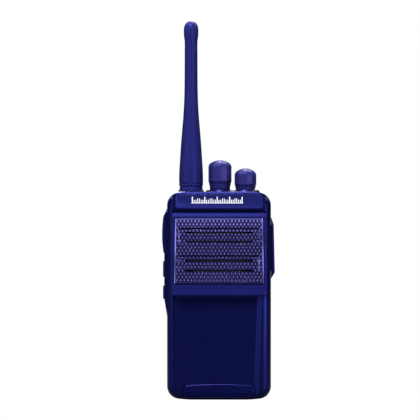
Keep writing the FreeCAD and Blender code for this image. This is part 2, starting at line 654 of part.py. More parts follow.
def control_nuts():
    """Hexagonal nuts that clamp both controls to the chassis flange."""
    nuts = []
    for x in (CHANNEL_X, VOLUME_X):
        turns = [math.radians(60 * k) for k in range(6)]
        corners = [(x + 5.6 * math.cos(turn), CONTROL_Y + 5.6 * math.sin(turn)) for turn in turns]
        nut = prism(corners, "z", FLANGE_Z[1] + 0.02, FLANGE_Z[1] + 2.0)
        nuts.append(nut.cut(rod("z", x, CONTROL_Y, 105, 120, 3.55)))
    return Part.makeCompound(nuts)


def knob(x, top, sizes):
    """A turned knob: a wide domed grip over a narrower neck, hollow underneath, bored for its shaft."""
    neck, grip, cone = sizes
    edge = top - KNOB_DOME
    dome_radius = grip - 0.8
    dome = [(dome_radius * share, top - (KNOB_DOME - 1.0) * share ** 2) for share in (1, 0.75, 0.5, 0.25, 0)]
    profile = [(0, KNOB_FOOT), (neck, KNOB_FOOT), (neck + 0.05, cone - 2.0), (grip - 0.35, cone + 0.5),
               (grip, cone + 1.0), (grip, edge - 0.4), (grip - 0.3, edge + 0.3)] + dome
    body = turned(profile, x, CONTROL_Y)
    flat_side = block((x - 5, x + 5), (CONTROL_Y + SHAFT_FLAT[0] + 0.05, CONTROL_Y + 6), (SHAFT_FLAT[1], top))
    bore = rod("z", x, CONTROL_Y, KNOB_FOOT - 1, top - SHAFT_DROP + 0.2, SHAFT_RADIUS + 0.03)
    bore = bore.cut(flat_side)
    return without(body, bore, rod("z", x, CONTROL_Y, KNOB_FOOT - 1, 117.4, 4.4))


def speaker_parts():
    """The loudspeaker as basket, cone, magnet and the dust cloth in front of it."""
    front, back = -12.7, -7.4
    basket = turned_y([
        (SPEAKER_RADIUS, front), (SPEAKER_RADIUS, front + 1.2), (15.5, front + 2.2), (9.4, back - 1.4),
        (9.4, back - 0.6), (8.4, back - 0.6), (8.4, back - 2.2), (14.6, front + 1.4), (16.4, front + 0.6),
        (16.4, front),
    ], 0, SPEAKER_Z)
    cone = turned_y([
        (16.2, front + 0.1), (14.4, front + 0.75), (6.0, front + 2.6), (0, front + 1.2),
        (0, front + 1.45), (6.0, front + 2.85), (14.4, front + 1.0), (16.2, front + 0.25),
    ], 0, SPEAKER_Z)
    magnet = turned_y([(0, -9.3), (8.1, -9.3), (8.1, back), (6.8, back + 0.5), (0, back + 0.5)], 0, SPEAKER_Z)
    cloth = rod("y", 0, SPEAKER_Z, -13.15, -12.75, SPEAKER_RADIUS)
    return {
        "speaker_basket": basket,
        "speaker_cone": cone,
        "speaker_magnet": magnet,
        "speaker_dust_cloth": cloth,
    }


def microphone_parts():
    """The microphone capsule in its rubber boot, behind a small hole in the panel."""
    capsule = rod("y", *MIC_PLACE, -10.6, -8.2, 2.9)
    boot = ring("y", *MIC_PLACE, -11.3, -8.4, 3.9, 2.95)
    lip = ring("y", *MIC_PLACE, -11.3, -10.7, 3.9, 1.0)
    return {"microphone": capsule, "microphone_boot": joined(boot, lip)}


# ---- antenna ------------------------------------------------------------------------------------
def antenna_socket():
    """The threaded brass socket in the chassis flange; the thread is a plain bore."""
    collar = rod("z", ANTENNA_X, CONTROL_Y, 103.4, FLANGE_Z[0] - 0.05, 5.6)
    neck = rod("z", ANTENNA_X, CONTROL_Y, 107.0, 114.0, 4.65)
    bore = rod("z", ANTENNA_X, CONTROL_Y, 108.0, 120, 3.2)
    return without(joined(collar, neck), bore, rod("z", ANTENNA_X, CONTROL_Y, 100, 109, 2.0))


def antenna_parts():
    """The whip: brass stud, base collar, rubber sheath, glass-fibre rod and the coil wound on it."""
    stud = joined(
        rod("z", ANTENNA_X, CONTROL_Y, 109.5, 116.0, 3.14),
        rod("z", ANTENNA_X, CONTROL_Y, 115.4, 123.0, 4.4),
    )
    collar = turned([
        (4.45, 115.35), (6.45, 115.35), (6.5, 116.2), (6.2, 116.8), (6.2, 117.2), (6.6, 117.7),
        (6.6, 118.6), (4.45, 118.6),
    ], ANTENNA_X, CONTROL_Y)
    outline = [
        (6.65, 118.7), (6.6, 125.0), (6.05, 133.4), (5.5, 141.6), (4.95, 148.2), (4.4, 154.8),
        (4.05, 159.8), (3.75, 166.4), (3.6, 175.7), (3.55, 197.7), (3.9, 199.6), (4.05, 201.6),
        (4.05, 204.2), (3.6, 206.2), (2.3, 207.7), (0, ANTENNA_TIP),
    ]
    inside = [
        (0, 203.0), (2.2, 203.0), (2.2, 160.0), (3.0, 136.0), (3.0, 123.1), (4.45, 123.1), (4.45, 118.7),
    ]
    sheath = turned(outline + inside, ANTENNA_X, CONTROL_Y)
    core = rod("z", ANTENNA_X, CONTROL_Y, 123.05, 202.0, 0.9)
    winding = coil(1.5, 0.7, 3.4, 68.0, FreeCAD.Vector(ANTENNA_X, CONTROL_Y, 128.0), Z_AXIS)
    return {
        "antenna_stud": stud,
        "antenna_collar": collar,
        "antenna_sheath": sheath,
        "antenna_core": core,
        "antenna_winding": winding,
    }


def antenna_washer():
    """The rubber washer under the antenna, which rises with it as it is unscrewed."""
    washer = ring("z", ANTENNA_X, CONTROL_Y, BODY_TOP + 0.02, 115.3, 7.0, 3.2)
    return washer.makeFillet(0.3, [e for e in edges_at(washer, "z", 115.3) if e.Curve.Radius > 5])


def antenna_insulator():
    """The white bush in the floor of the socket."""
    return ring("z", ANTENNA_X, CONTROL_Y, 103.0, 108.0, 2.0, 0.7)


def antenna_contact():
    """The centre contact under the antenna stud, with a round head below the bush."""
    return joined(
        rod("z", ANTENNA_X, CONTROL_Y, 101.9, 103.0, 1.6),
        rod("z", ANTENNA_X, CONTROL_Y, 102.0, 109.2, 0.7),
    )


# ---- battery pack -------------------------------------------------------------------------------
def battery_shell():
    """The whole hollow shell of the pack, before it is split into its two halves."""
    shell = body_slab(BATTERY_HALF, BODY_TOP, 0, BATTERY_FRONT, BATTERY_BACK)
    shell = softened(shell, 3.6, "y", BATTERY_BACK)
    shell = shell.common(between(0, BATTERY_TOP))
    deep = body_slab(BATTERY_HALF, BODY_TOP, 1.6, 6.9, BATTERY_BACK - 1.5)
    deep = softened(deep, 2.0, "y", BATTERY_BACK - 1.5)
    deep = deep.common(between(2.2, BATTERY_TOP - 1.6))
    shallow = block((-22.8, 22.8), (BATTERY_FRONT + 1.6, 7.0), (6.0, BATTERY_TOP - 1.6))
    return without(shell, deep, shallow)


def battery_case():
    """The front half of the pack, with the rail channels, their lips and the terminal recess."""
    case = battery_shell().common(block((-FAR, FAR), (-40, BATTERY_SPLIT), (-1, 200)))
    for side in (-1, 1):
        channel = block((23.5, 26.5), (0, 5.4), (10.0, 89.0))
        channel = channel if side > 0 else channel.mirror(FreeCAD.Vector(), X_AXIS)
        case = case.cut(channel)
        for low in RAIL_SEGMENTS:
            lip = block((23.4, 24.6), (BATTERY_FRONT, 3.6), (low, low + RAIL_LENGTH))
            lip = lip if side > 0 else lip.mirror(FreeCAD.Vector(), X_AXIS)
            case = joined(case, lip)
    case = case.cut(block((-9.5, 9.5), (0, 3.7), (78.5, BATTERY_TOP + 1)))
    keeper = block((-TONGUE_HALF - 0.6, TONGUE_HALF + 0.6), (0, 4.4), (TONGUE_Z[0] - 0.6, TONGUE_Z[1] + 0.6))
    return case.cut(keeper)


def battery_cover():
    """The back half of the pack, with grip ribs cut low on each side."""
    cover = battery_shell().common(block((-FAR, FAR), (BATTERY_SPLIT + 0.02, 40), (-1, 200)))
    for k in range(5):
        z = 14.0 + 3.2 * k
        for side in (-1, 1):
            groove = rod("y", side * (BATTERY_HALF + 0.5), z, 10.0, 15.0, 1.0)
            cover = cover.cut(groove)
    for x in CHARGE_X:
        cover = cover.cut(rod("y", x, CHARGE_Z, BATTERY_BACK - 0.45, 20, 3.0))
    (left, right), (low, high) = LABEL
    seat_x, seat_z = (left - 0.2, right + 0.2), (low - 0.2, high + 0.2)
    return cover.cut(rounded(seat_x, (BATTERY_BACK - LABEL_DEPTH, 20), seat_z, "y", 1.2))


def battery_label():
    """The blank label in its shallow recess on the back of the pack."""
    return rounded(LABEL[0], (BATTERY_BACK - LABEL_DEPTH, BATTERY_BACK - 0.12), LABEL[1], "y", 1.0)


def battery_cells():
    """Two flat lithium cells side by side."""
    cells = []
    for low in (-22.3, 0.3):
        cells.append(rounded((low, low + 22.0), (4.8, 14.6), (10.0, 74.0), "z", 3.5))
    return Part.makeCompound(cells)


def battery_board():
    """The protection board over the cells."""
    board = block((-18.0, 18.0), (5.6, 13.6), (77.0, 78.0))
    chips = [block((-12.0, -6.0), (7.5, 11.5), (78.0, 79.2)), block((3.0, 10.0), (7.5, 12.0), (78.0, 79.4))]
    return joined(board, *chips)


def battery_terminals():
    """Three flat terminals on the front of the pack."""
    return Part.makeCompound([block((x - 1.9, x + 1.9), (3.4, 3.69), (79.4, 84.6)) for x in TERMINAL_X])


def charge_contacts():
    """Two round contacts for a charging cradle, low on the back of the pack."""
    return Part.makeCompound([
        rod("y", x, CHARGE_Z, BATTERY_BACK - 0.44, BATTERY_BACK - 0.14, 2.9) for x in CHARGE_X
    ])


# ---- battery latch ------------------------------------------------------------------------------
def latch_outline(gap):
    """The thumb tab's outline as a face in front of the body, larger by gap on its sides and top."""
    foot, shoulder = LATCH_HALF[0] + gap, LATCH_HALF[1] + gap
    left, right = (FreeCAD.Vector(side * shoulder, -20, LATCH_SHOULDER + gap) for side in (-1, 1))
    left_foot, right_foot = (FreeCAD.Vector(side * foot, -20, -1) for side in (-1, 1))
    arch = Part.Arc(left, FreeCAD.Vector(0, -20, LATCH_TOP + gap), right).toShape()
    corners = (right, right_foot, left_foot, left)
    sides = [Part.makeLine(a, b) for a, b in zip(corners, corners[1:])]
    return Part.Face(Part.Wire([arch] + sides))


def battery_latch():
    """The thumb tab at the foot of the panel and the tongue that runs back under the floor."""
    half = LATCH_HALF[0]
    tab = latch_outline(0).extrude(Y_AXIS * 20)
    tab = tab.common(block((-FAR, FAR), (LATCH_FRONT, LATCH_BACK), (-2, 40)))
    shoulders = [e for e in edges_along(tab, "y") if e.BoundBox.ZMin > LATCH_SHOULDER - 0.1]
    tab = tab.makeFillet(1.5, shoulders)
    tab = tab.makeFillet(0.6, [e for e in edges_at(tab, "y", LATCH_FRONT) if e.BoundBox.ZMax > 0])
    toe = block((-half, half), (LATCH_FRONT + 1, LATCH_TOE[0]), (-1, LATCH_TOE[1]))
    hull = softened(body_slab(BODY_HALF, BODY_TOP, 0.05, LATCH_FRONT, 5), 4.5, "y", LATCH_FRONT)
    tab = joined(tab, toe).common(hull)
    low, high = TONGUE_Z
    tongue = block((-TONGUE_HALF, TONGUE_HALF), (-14.0, SPLIT_Y - 1.2), TONGUE_Z)
    nose = prism([(SPLIT_Y - 2.0, low), (SPLIT_Y - 0.05, low), (SPLIT_Y - 0.05, high - 0.8),
                  (SPLIT_Y - 0.8, high), (SPLIT_Y - 2.0, high)], "x", 2 - TONGUE_HALF, TONGUE_HALF - 2)
    lug_y = (LATCH_SPRING_Y[1] + 0.02, LATCH_SPRING_Y[1] + 1.3)
    lugs = [block((x - 0.8, x + 0.8), lug_y, (high - 0.2, LATCH_SPRING_Z + 0.9))
            for x in (-LATCH_SPRING_X, LATCH_SPRING_X)]
    return joined(tab, tongue, nose, *lugs)


def latch_springs():
    """Two coil springs, between the housing and the latch's lugs, that push it towards the battery."""
    wire = 0.3
    start, length = LATCH_SPRING_Y[0] + wire / 2, LATCH_SPRING_Y[1] - LATCH_SPRING_Y[0] - wire
    return Part.makeCompound([
        coil(0.95, wire, length / 6, length, FreeCAD.Vector(x, start, LATCH_SPRING_Z), Y_AXIS)
        for x in (-LATCH_SPRING_X, LATCH_SPRING_X)
    ])


# ---- belt clip ----------------------------------------------------------------------------------
def clip_bracket():
    """The plate screwed to the back of the head, with two ears for the clip's pin."""
    plate = rounded((-13.0, 13.0), (HEAD_BACK + 0.05, HEAD_BACK + 2.25), (95.4, 110.6), "y", 2.0)
    ears = []
    for low in (-11.0, 9.2):
        ear = joined(
            block((low, low + 1.8), (HEAD_BACK + 1.0, CLIP_PIN_Y), (CLIP_PIN_Z - 1.9, CLIP_PIN_Z + 1.9)),
            rod("x", CLIP_PIN_Y, CLIP_PIN_Z, low, low + 1.8, 1.9),
        )
        ears.append(ear.cut(rod("x", CLIP_PIN_Y, CLIP_PIN_Z, low - 1, low + 3, 1.02)))
    bracket = joined(plate, *ears)
    for x in (-CLIP_SCREW_X, CLIP_SCREW_X):
        bracket = bracket.cut(rod("y", x, CLIP_SCREW_Z, 10, 20, 1.4))
        bracket = bracket.cut(rod("y", x, CLIP_SCREW_Z, HEAD_BACK + 1.0, 20, 2.5))
    return bracket


def clip_screws():
    """Two countersunk-depth screws that hold the bracket."""
    screws = []
    z = CLIP_SCREW_Z
    for x in (-CLIP_SCREW_X, CLIP_SCREW_X):
        head = rod("y", x, z, HEAD_BACK + 1.02, HEAD_BACK + 2.1, 2.2)
        shank = rod("y", x, z, 11.4, HEAD_BACK + 1.1, 1.2)
        cross = joined(
            block((x - 1.3, x + 1.3), (HEAD_BACK + 1.5, 20), (z - 0.25, z + 0.25)),
            block((x - 0.25, x + 0.25), (HEAD_BACK + 1.5, 20), (z - 1.3, z + 1.3)),
        )
        screws.append(joined(head, shank).cut(cross))
    return Part.makeCompound(screws)


def clip_lever():
    """The belt clip: a long sprung arm with a thumb pad above its hinge and a hooked tip."""
    near, far = CLIP_ARM
    inner = [(near, CLIP_TOP), (near, 50.0), (21.4, 44.0), (18.6, 39.6), (17.2, 38.0)]
    outer = [(18.2, 36.2), (20.6, 37.6), (23.6, 42.2), (far, 49.0), (far, CLIP_TOP)]
    arm = prism(inner + outer, "x", -CLIP_HALF, CLIP_HALF)
    top = [e for e in edges_along(arm, "y") if e.BoundBox.ZMin > CLIP_TOP - 1]
    arm = arm.makeFillet(4.0, top)
    hubs = []
    for low, high in ((-9.0, -5.4), (5.4, 9.0)):
        hub = joined(
            rod("x", CLIP_PIN_Y, CLIP_PIN_Z, low, high, 2.2),
            block((low, high), (CLIP_PIN_Y, 23.0), (CLIP_PIN_Z - 2.2, CLIP_PIN_Z + 2.2)),
        )
        hubs.append(hub)
    lever = joined(arm, *hubs)
    for k in range(CLIP_GROOVES):
        lever = lever.cut(rod("x", far + 0.3, 106.6 + 1.5 * k, 3.0 - CLIP_HALF, CLIP_HALF - 3.0, 0.6))
    return lever.cut(rod("x", CLIP_PIN_Y, CLIP_PIN_Z, -20, 20, 1.06))


def clip_pin():
    """The steel hinge pin of the belt clip."""
    return rod("x", CLIP_PIN_Y, CLIP_PIN_Z, -11.0, 11.0, 1.0)


def clip_spring():
    """The torsion spring on the pin, with one leg on the bracket and one on the arm."""
    radius, wire, half = 1.75, 0.8, 3.8
    winding = coil(radius, wire, 0.95, 2 * half, FreeCAD.Vector(-half, CLIP_PIN_Y, CLIP_PIN_Z), X_AXIS)
    leg_top = FreeCAD.Vector(-half, CLIP_PIN_Y - radius, CLIP_PIN_Z)
    leg_foot = FreeCAD.Vector(-half, HEAD_BACK + 2.35 + wire / 2, CLIP_PIN_Z - 7.5)
    bracket_leg = Part.makeCylinder(wire / 2, (leg_foot - leg_top).Length, leg_top, leg_foot - leg_top)
    arm_leg = rod("z", half, CLIP_PIN_Y + radius, CLIP_PIN_Z - 8.0, CLIP_PIN_Z, wire / 2)
    return Part.makeCompound([winding, bracket_leg, arm_leg])


def build():
    """Every node's shape by name."""
    parts = {
        "front_housing": front_housing(),
        "grille_bezel": grille_bezel(),
        "speaker_grille": speaker_grille(),
        "name_plate": name_plate(),
        "status_lens": status_lens(),
        "key_bezel": key_bezel(),
        "ptt_key": side_key(PTT_Z, 0, PTT_OUT, 1.2, 0.9, PTT_CROWN),
        "side_key_upper": side_key(KEY_UPPER_Z, SMALL_KEY_INSET, SMALL_KEY_OUT, 0.8, 0.6),
        "side_key_lower": side_key(KEY_LOWER_Z, SMALL_KEY_INSET, SMALL_KEY_OUT, 0.8, 0.6),
        "key_mat": key_mat(),
        "side_switch_board": side_switch_board(),
        "dome_switches": dome_switches(),
        "accessory_jack": accessory_jack(),
        "accessory_cover": accessory_cover(),
        "cover_pin": cover_pin(),
        "chassis": chassis(),
        "chassis_seal": chassis_seal(),
        "chassis_screws": chassis_screws(),
        "main_board": main_board(),
        "shield_cans": shield_cans(),
        "board_components": board_components(),
        "contact_block": contact_block(),
        "contact_pins": contact_pins(),
        "control_board": control_board(),
        "channel_switch": rotary_body(CHANNEL_X),
        "channel_shaft": rotary_shaft(CHANNEL_X, CHANNEL_TOP - SHAFT_DROP),
        "channel_knob": knob(CHANNEL_X, CHANNEL_TOP, CHANNEL_GRIP),
        "volume_control": rotary_body(VOLUME_X),
        "volume_shaft": rotary_shaft(VOLUME_X, VOLUME_TOP - SHAFT_DROP),
        "volume_knob": knob(VOLUME_X, VOLUME_TOP, VOLUME_GRIP),
        "control_nuts": control_nuts(),
        "antenna_socket": antenna_socket(),
        "antenna_washer": antenna_washer(),
        "antenna_insulator": antenna_insulator(),
        "antenna_contact": antenna_contact(),
        "battery_case": battery_case(),
        "battery_cover": battery_cover(),
        "battery_label": battery_label(),
        "battery_cells": battery_cells(),
        "battery_board": battery_board(),
        "battery_terminals": battery_terminals(),
        "charge_contacts": charge_contacts(),
        "battery_latch": battery_latch(),
        "latch_springs": latch_springs(),
        "clip_bracket": clip_bracket(),
        "clip_screws": clip_screws(),
        "clip_lever": clip_lever(),
        "clip_pin": clip_pin(),
        "clip_spring": clip_spring(),
    }
    parts.update(speaker_parts())
    parts.update(microphone_parts())
    parts.update(antenna_parts())
    return parts


def main():
    """Writes one STEP file per node."""
    os.makedirs("parts", exist_ok=True)
    for name, shape in build().items():
        if not shape.isValid():
            print("not valid:", name)
        print(f"{name}: {len(shape.Solids)} solid(s), {shape.Volume:.1f} mm3")
        shape.exportStep(os.path.join("parts", name + ".step"))


main()
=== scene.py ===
"""Looks for the handheld radio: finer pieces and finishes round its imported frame."""
import json
import logging
import math
from dataclasses import dataclass
from enum import Enum
from typing import Iterable, Optional, Sequence

import bmesh
import bpy
from mathutils import Matrix, Vector


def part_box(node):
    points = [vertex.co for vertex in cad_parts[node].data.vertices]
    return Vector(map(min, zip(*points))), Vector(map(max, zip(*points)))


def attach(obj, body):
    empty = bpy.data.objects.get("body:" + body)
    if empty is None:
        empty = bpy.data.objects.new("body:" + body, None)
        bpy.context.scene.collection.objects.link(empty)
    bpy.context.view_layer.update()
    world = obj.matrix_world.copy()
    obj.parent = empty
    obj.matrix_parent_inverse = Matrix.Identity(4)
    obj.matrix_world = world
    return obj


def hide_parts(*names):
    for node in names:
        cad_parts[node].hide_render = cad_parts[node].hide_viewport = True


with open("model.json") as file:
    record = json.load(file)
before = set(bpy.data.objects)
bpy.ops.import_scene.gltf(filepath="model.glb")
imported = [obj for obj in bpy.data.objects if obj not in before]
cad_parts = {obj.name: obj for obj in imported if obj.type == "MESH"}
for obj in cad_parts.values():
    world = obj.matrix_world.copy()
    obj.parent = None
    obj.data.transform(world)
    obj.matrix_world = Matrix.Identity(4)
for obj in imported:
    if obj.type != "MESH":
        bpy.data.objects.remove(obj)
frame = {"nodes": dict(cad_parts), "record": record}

log = logging.getLogger("radio")

MM = 0.001
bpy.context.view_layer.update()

Colour = tuple[float, float, float]
Profile = Sequence[tuple[float, float]]


class Axis(Enum):
    """The frame's three directions."""

    X = 0
    Y = 1
    Z = 2

    def vector(self) -> Vector:
        """Returns the unit vector of this direction."""
        return Vector([1.0 if k == self.value else 0.0 for k in range(3)])


class Grain(Enum):
    """The ways a surface's fine texture is laid."""

    MOULDED = "moulded"
    BRUSHED = "brushed"
    WOVEN = "woven"
    CAST = "cast"
    BOARD = "board"
    KNURLED = "knurled"


# ---- shader node groups -------------------------------------------------------------------------
class NodeSheet:
    """A node tree with short ways to add and join nodes."""

    def __init__(self, tree: bpy.types.NodeTree) -> None:
        """Wraps a tree.

        Args:
            tree: the tree that nodes are added to.
        """
        self.tree = tree

    def add(self, kind: str, links: Optional[dict] = None, **values: object) -> bpy.types.Node:
        """Adds a node.

        Args:
            kind: the node's type, without its ShaderNode prefix.
            links: input name or number to the value or output socket it takes.
            values: the node's own properties.

        Returns:
            The new node.
        """
        node = self.tree.nodes.new("ShaderNode" + kind)
        for key, value in values.items():
            setattr(node, key, value)
        for key, value in (links or {}).items():
            if isinstance(value, bpy.types.NodeSocket):
                self.tree.links.new(value, node.inputs[key])
            else:
                node.inputs[key].default_value = value
        return node

    def sum(self, operation: str, a: object, b: object, clamp: bool = False) -> bpy.types.NodeSocket:
        """Adds one arithmetic step.

        Args:
            operation: the Math node's operation.
            a: the first value or socket.
            b: the second value or socket.
            clamp: whether the result is held between 0 and 1.

        Returns:
            The result's socket.
        """
        return self.add("Math", {0: a, 1: b}, operation=operation, use_clamp=clamp).outputs[0]

    def ramp(self, value: object, low: float, high: float) -> bpy.types.NodeSocket:
        """Stretches the span from low to high over 0 to 1, with soft ends.

        Args:
            value: the socket to stretch.
            low: the value that becomes 0.
            high: the value that becomes 1.

        Returns:
            The stretched value's socket.
        """
        links = {"Value": value, "From Min": low, "From Max": high}
        return self.add("MapRange", links, interpolation_type="SMOOTHSTEP").outputs["Result"]

    def blend(self, share: object, first: object, second: object) -> bpy.types.NodeSocket:
        """Mixes two colours.

        Args:
            share: how much of the second colour there is.
            first: the colour or socket at 0.
            second: the colour or socket at 1.

        Returns:
            The mixed colour's socket.
        """
        node = self.tree.nodes.new("ShaderNodeMix")
        node.data_type = "RGBA"
        for key, value in (("Factor", share), ("A", first), ("B", second)):
            wanted = "VALUE" if key == "Factor" else "RGBA"
            socket = next(s for s in node.inputs if s.name == key and s.type == wanted)
            if isinstance(value, bpy.types.NodeSocket):
                self.tree.links.new(value, socket)
            else:
                socket.default_value = value if key == "Factor" else (*value[:3], 1.0)
        return next(s for s in node.outputs if s.type == "RGBA")


def new_group(name: str, inputs: dict[str, float], outputs: Iterable[str]) -> tuple[NodeSheet, dict, dict]:
    """Starts a shader node group with number sockets.

    Args:
        name: the group's name.
        inputs: each input's name and default.
        outputs: the outputs' names.

    Returns:
        The sheet, the group's input sockets by name, and its output node's sockets by name.
    """
    tree = bpy.data.node_groups.new(name, "ShaderNodeTree")
    for key, default in inputs.items():
        socket = tree.interface.new_socket(key, in_out="INPUT", socket_type="NodeSocketFloat")
        socket.default_value = default
    for key in outputs:
        tree.interface.new_socket(key, in_out="OUTPUT", socket_type="NodeSocketFloat")
    entry = tree.nodes.new("NodeGroupInput")
    leave = tree.nodes.new("NodeGroupOutput")
    return (NodeSheet(tree), {s.name: s for s in entry.outputs if s.name},
            {s.name: s for s in leave.inputs if s.name})


def moulded_grain_group() -> bpy.types.NodeTree:
    """Builds the grain of a spark-eroded mould: fine pits over a slow unevenness.

    Returns:
        The group, with Height and Tone outputs.
    """
    sheet, given, out = new_group("moulded_grain", {"Fineness": 4000.0, "Pits": 0.5}, ("Height", "Tone"))
    place = sheet.add("TexCoord").outputs["Object"]
    fine = sheet.add("TexNoise", {"Vector": place, "Scale": given["Fineness"], "Detail": 3.0,
                                  "Roughness": 0.6})
    cells = sheet.add("TexVoronoi", {"Vector": place, "Scale": given["Fineness"]}, feature="SMOOTH_F1")
    pits = sheet.sum("MULTIPLY", cells.outputs["Distance"], given["Pits"])
    sheet.tree.links.new(sheet.sum("ADD", fine.outputs["Fac"], pits), out["Height"])
    slow = sheet.add("TexNoise", {"Vector": place, "Scale": 90.0, "Detail": 4.0, "Roughness": 0.55})
    sheet.tree.links.new(sheet.ramp(slow.outputs["Fac"], 0.3, 0.7), out["Tone"])
    return sheet.tree


def edge_wear_group() -> bpy.types.NodeTree:
    """Builds the rubbed look of edges, broken up so that it isn't a clean line.

    Returns:
        The group, with a Mask output.
    """
    sheet, given, out = new_group("edge_wear", {"Amount": 0.5, "Reach": 0.0004}, ("Mask",))
    place = sheet.add("TexCoord").outputs["Object"]
    eased = sheet.add("Bevel", {"Radius": given["Reach"]}, samples=4).outputs["Normal"]
    true = sheet.add("NewGeometry").outputs["Normal"]
    agree = sheet.add("VectorMath", {0: eased, 1: true}, operation="DOT_PRODUCT").outputs["Value"]
    edge = sheet.ramp(agree, 0.995, 0.9)
    patch = sheet.add("TexNoise", {"Vector": place, "Scale": 420.0, "Detail": 5.0, "Roughness": 0.65})
    broken = sheet.ramp(patch.outputs["Fac"], 0.3, 0.62)
    mask = sheet.sum("MULTIPLY", sheet.sum("MULTIPLY", edge, broken), given["Amount"], True)
    sheet.tree.links.new(mask, out["Mask"])
    return sheet.tree


def settled_dust_group() -> bpy.types.NodeTree:
    """Builds the thin dust that lies on faces that look up.

    Returns:
        The group, with a Mask output.
    """
    sheet, given, out = new_group("settled_dust", {"Amount": 0.2}, ("Mask",))
    place = sheet.add("TexCoord").outputs["Object"]
    geometry = sheet.add("NewGeometry")
    facing = sheet.add("SeparateXYZ", {0: geometry.outputs["Normal"]}).outputs["Z"]
    upward = sheet.ramp(facing, 0.35, 1.0)
    patch = sheet.add("TexNoise", {"Vector": place, "Scale": 260.0, "Detail": 6.0, "Roughness": 0.7})
    broken = sheet.ramp(patch.outputs["Fac"], 0.4, 0.75)
    lying = sheet.sum("MULTIPLY", upward, broken)
    sheet.tree.links.new(sheet.sum("MULTIPLY", lying, given["Amount"], True), out["Mask"])
    return sheet.tree


def hairline_group() -> bpy.types.NodeTree:
    """Builds fine upright lines, as on turned or brushed metal.

    Returns:
        The group, with a Height output.
    """
    sheet, given, out = new_group("hairlines", {"Fineness": 9000.0}, ("Height",))
    place = sheet.add("TexCoord").outputs["Object"]
    drawn = sheet.add("VectorMath", {0: place, 1: (1.0, 1.0, 0.02)}, operation="MULTIPLY").outputs[0]
    lines = sheet.add("TexNoise", {"Vector": drawn, "Scale": given["Fineness"], "Detail": 2.0})
    sheet.tree.links.new(lines.outputs["Fac"], out["Height"])
    return sheet.tree


GROUPS = {
    "grain": moulded_grain_group(),
    "wear": edge_wear_group(),
    "dust": settled_dust_group(),
    "hairlines": hairline_group(),
}


# ---- finishes -----------------------------------------------------------------------------------
DUST_COLOUR: Colour = (0.05, 0.05, 0.13)
# painted shade: the near black laid in the knurl's grooves and on the smooth brows over its troughs
PAINTED_GROOVE_SHADE: Colour = (0.001, 0.001, 0.006)
NAVY_TINT: Colour = (0.1, 0.12, 1.0)
PURPLE_TINT: Colour = (0.3, 0.26, 1.0)
NAVY_WORN: Colour = (0.03, 0.028, 0.17)

GROOVE_SHADE_SPAN = (0.02, 0.3)   # a knurl's rise over which the painted shade of its grooves gives way to the base
CREST_HIGHLIGHT_SPAN = (0.2, 1.0)     # and over which the base gives way to the painted highlight colour
DUST_DULLS = 0.35           # full dust adds this much roughness
WEAR_POLISHES = 0.15        # full wear takes this much away


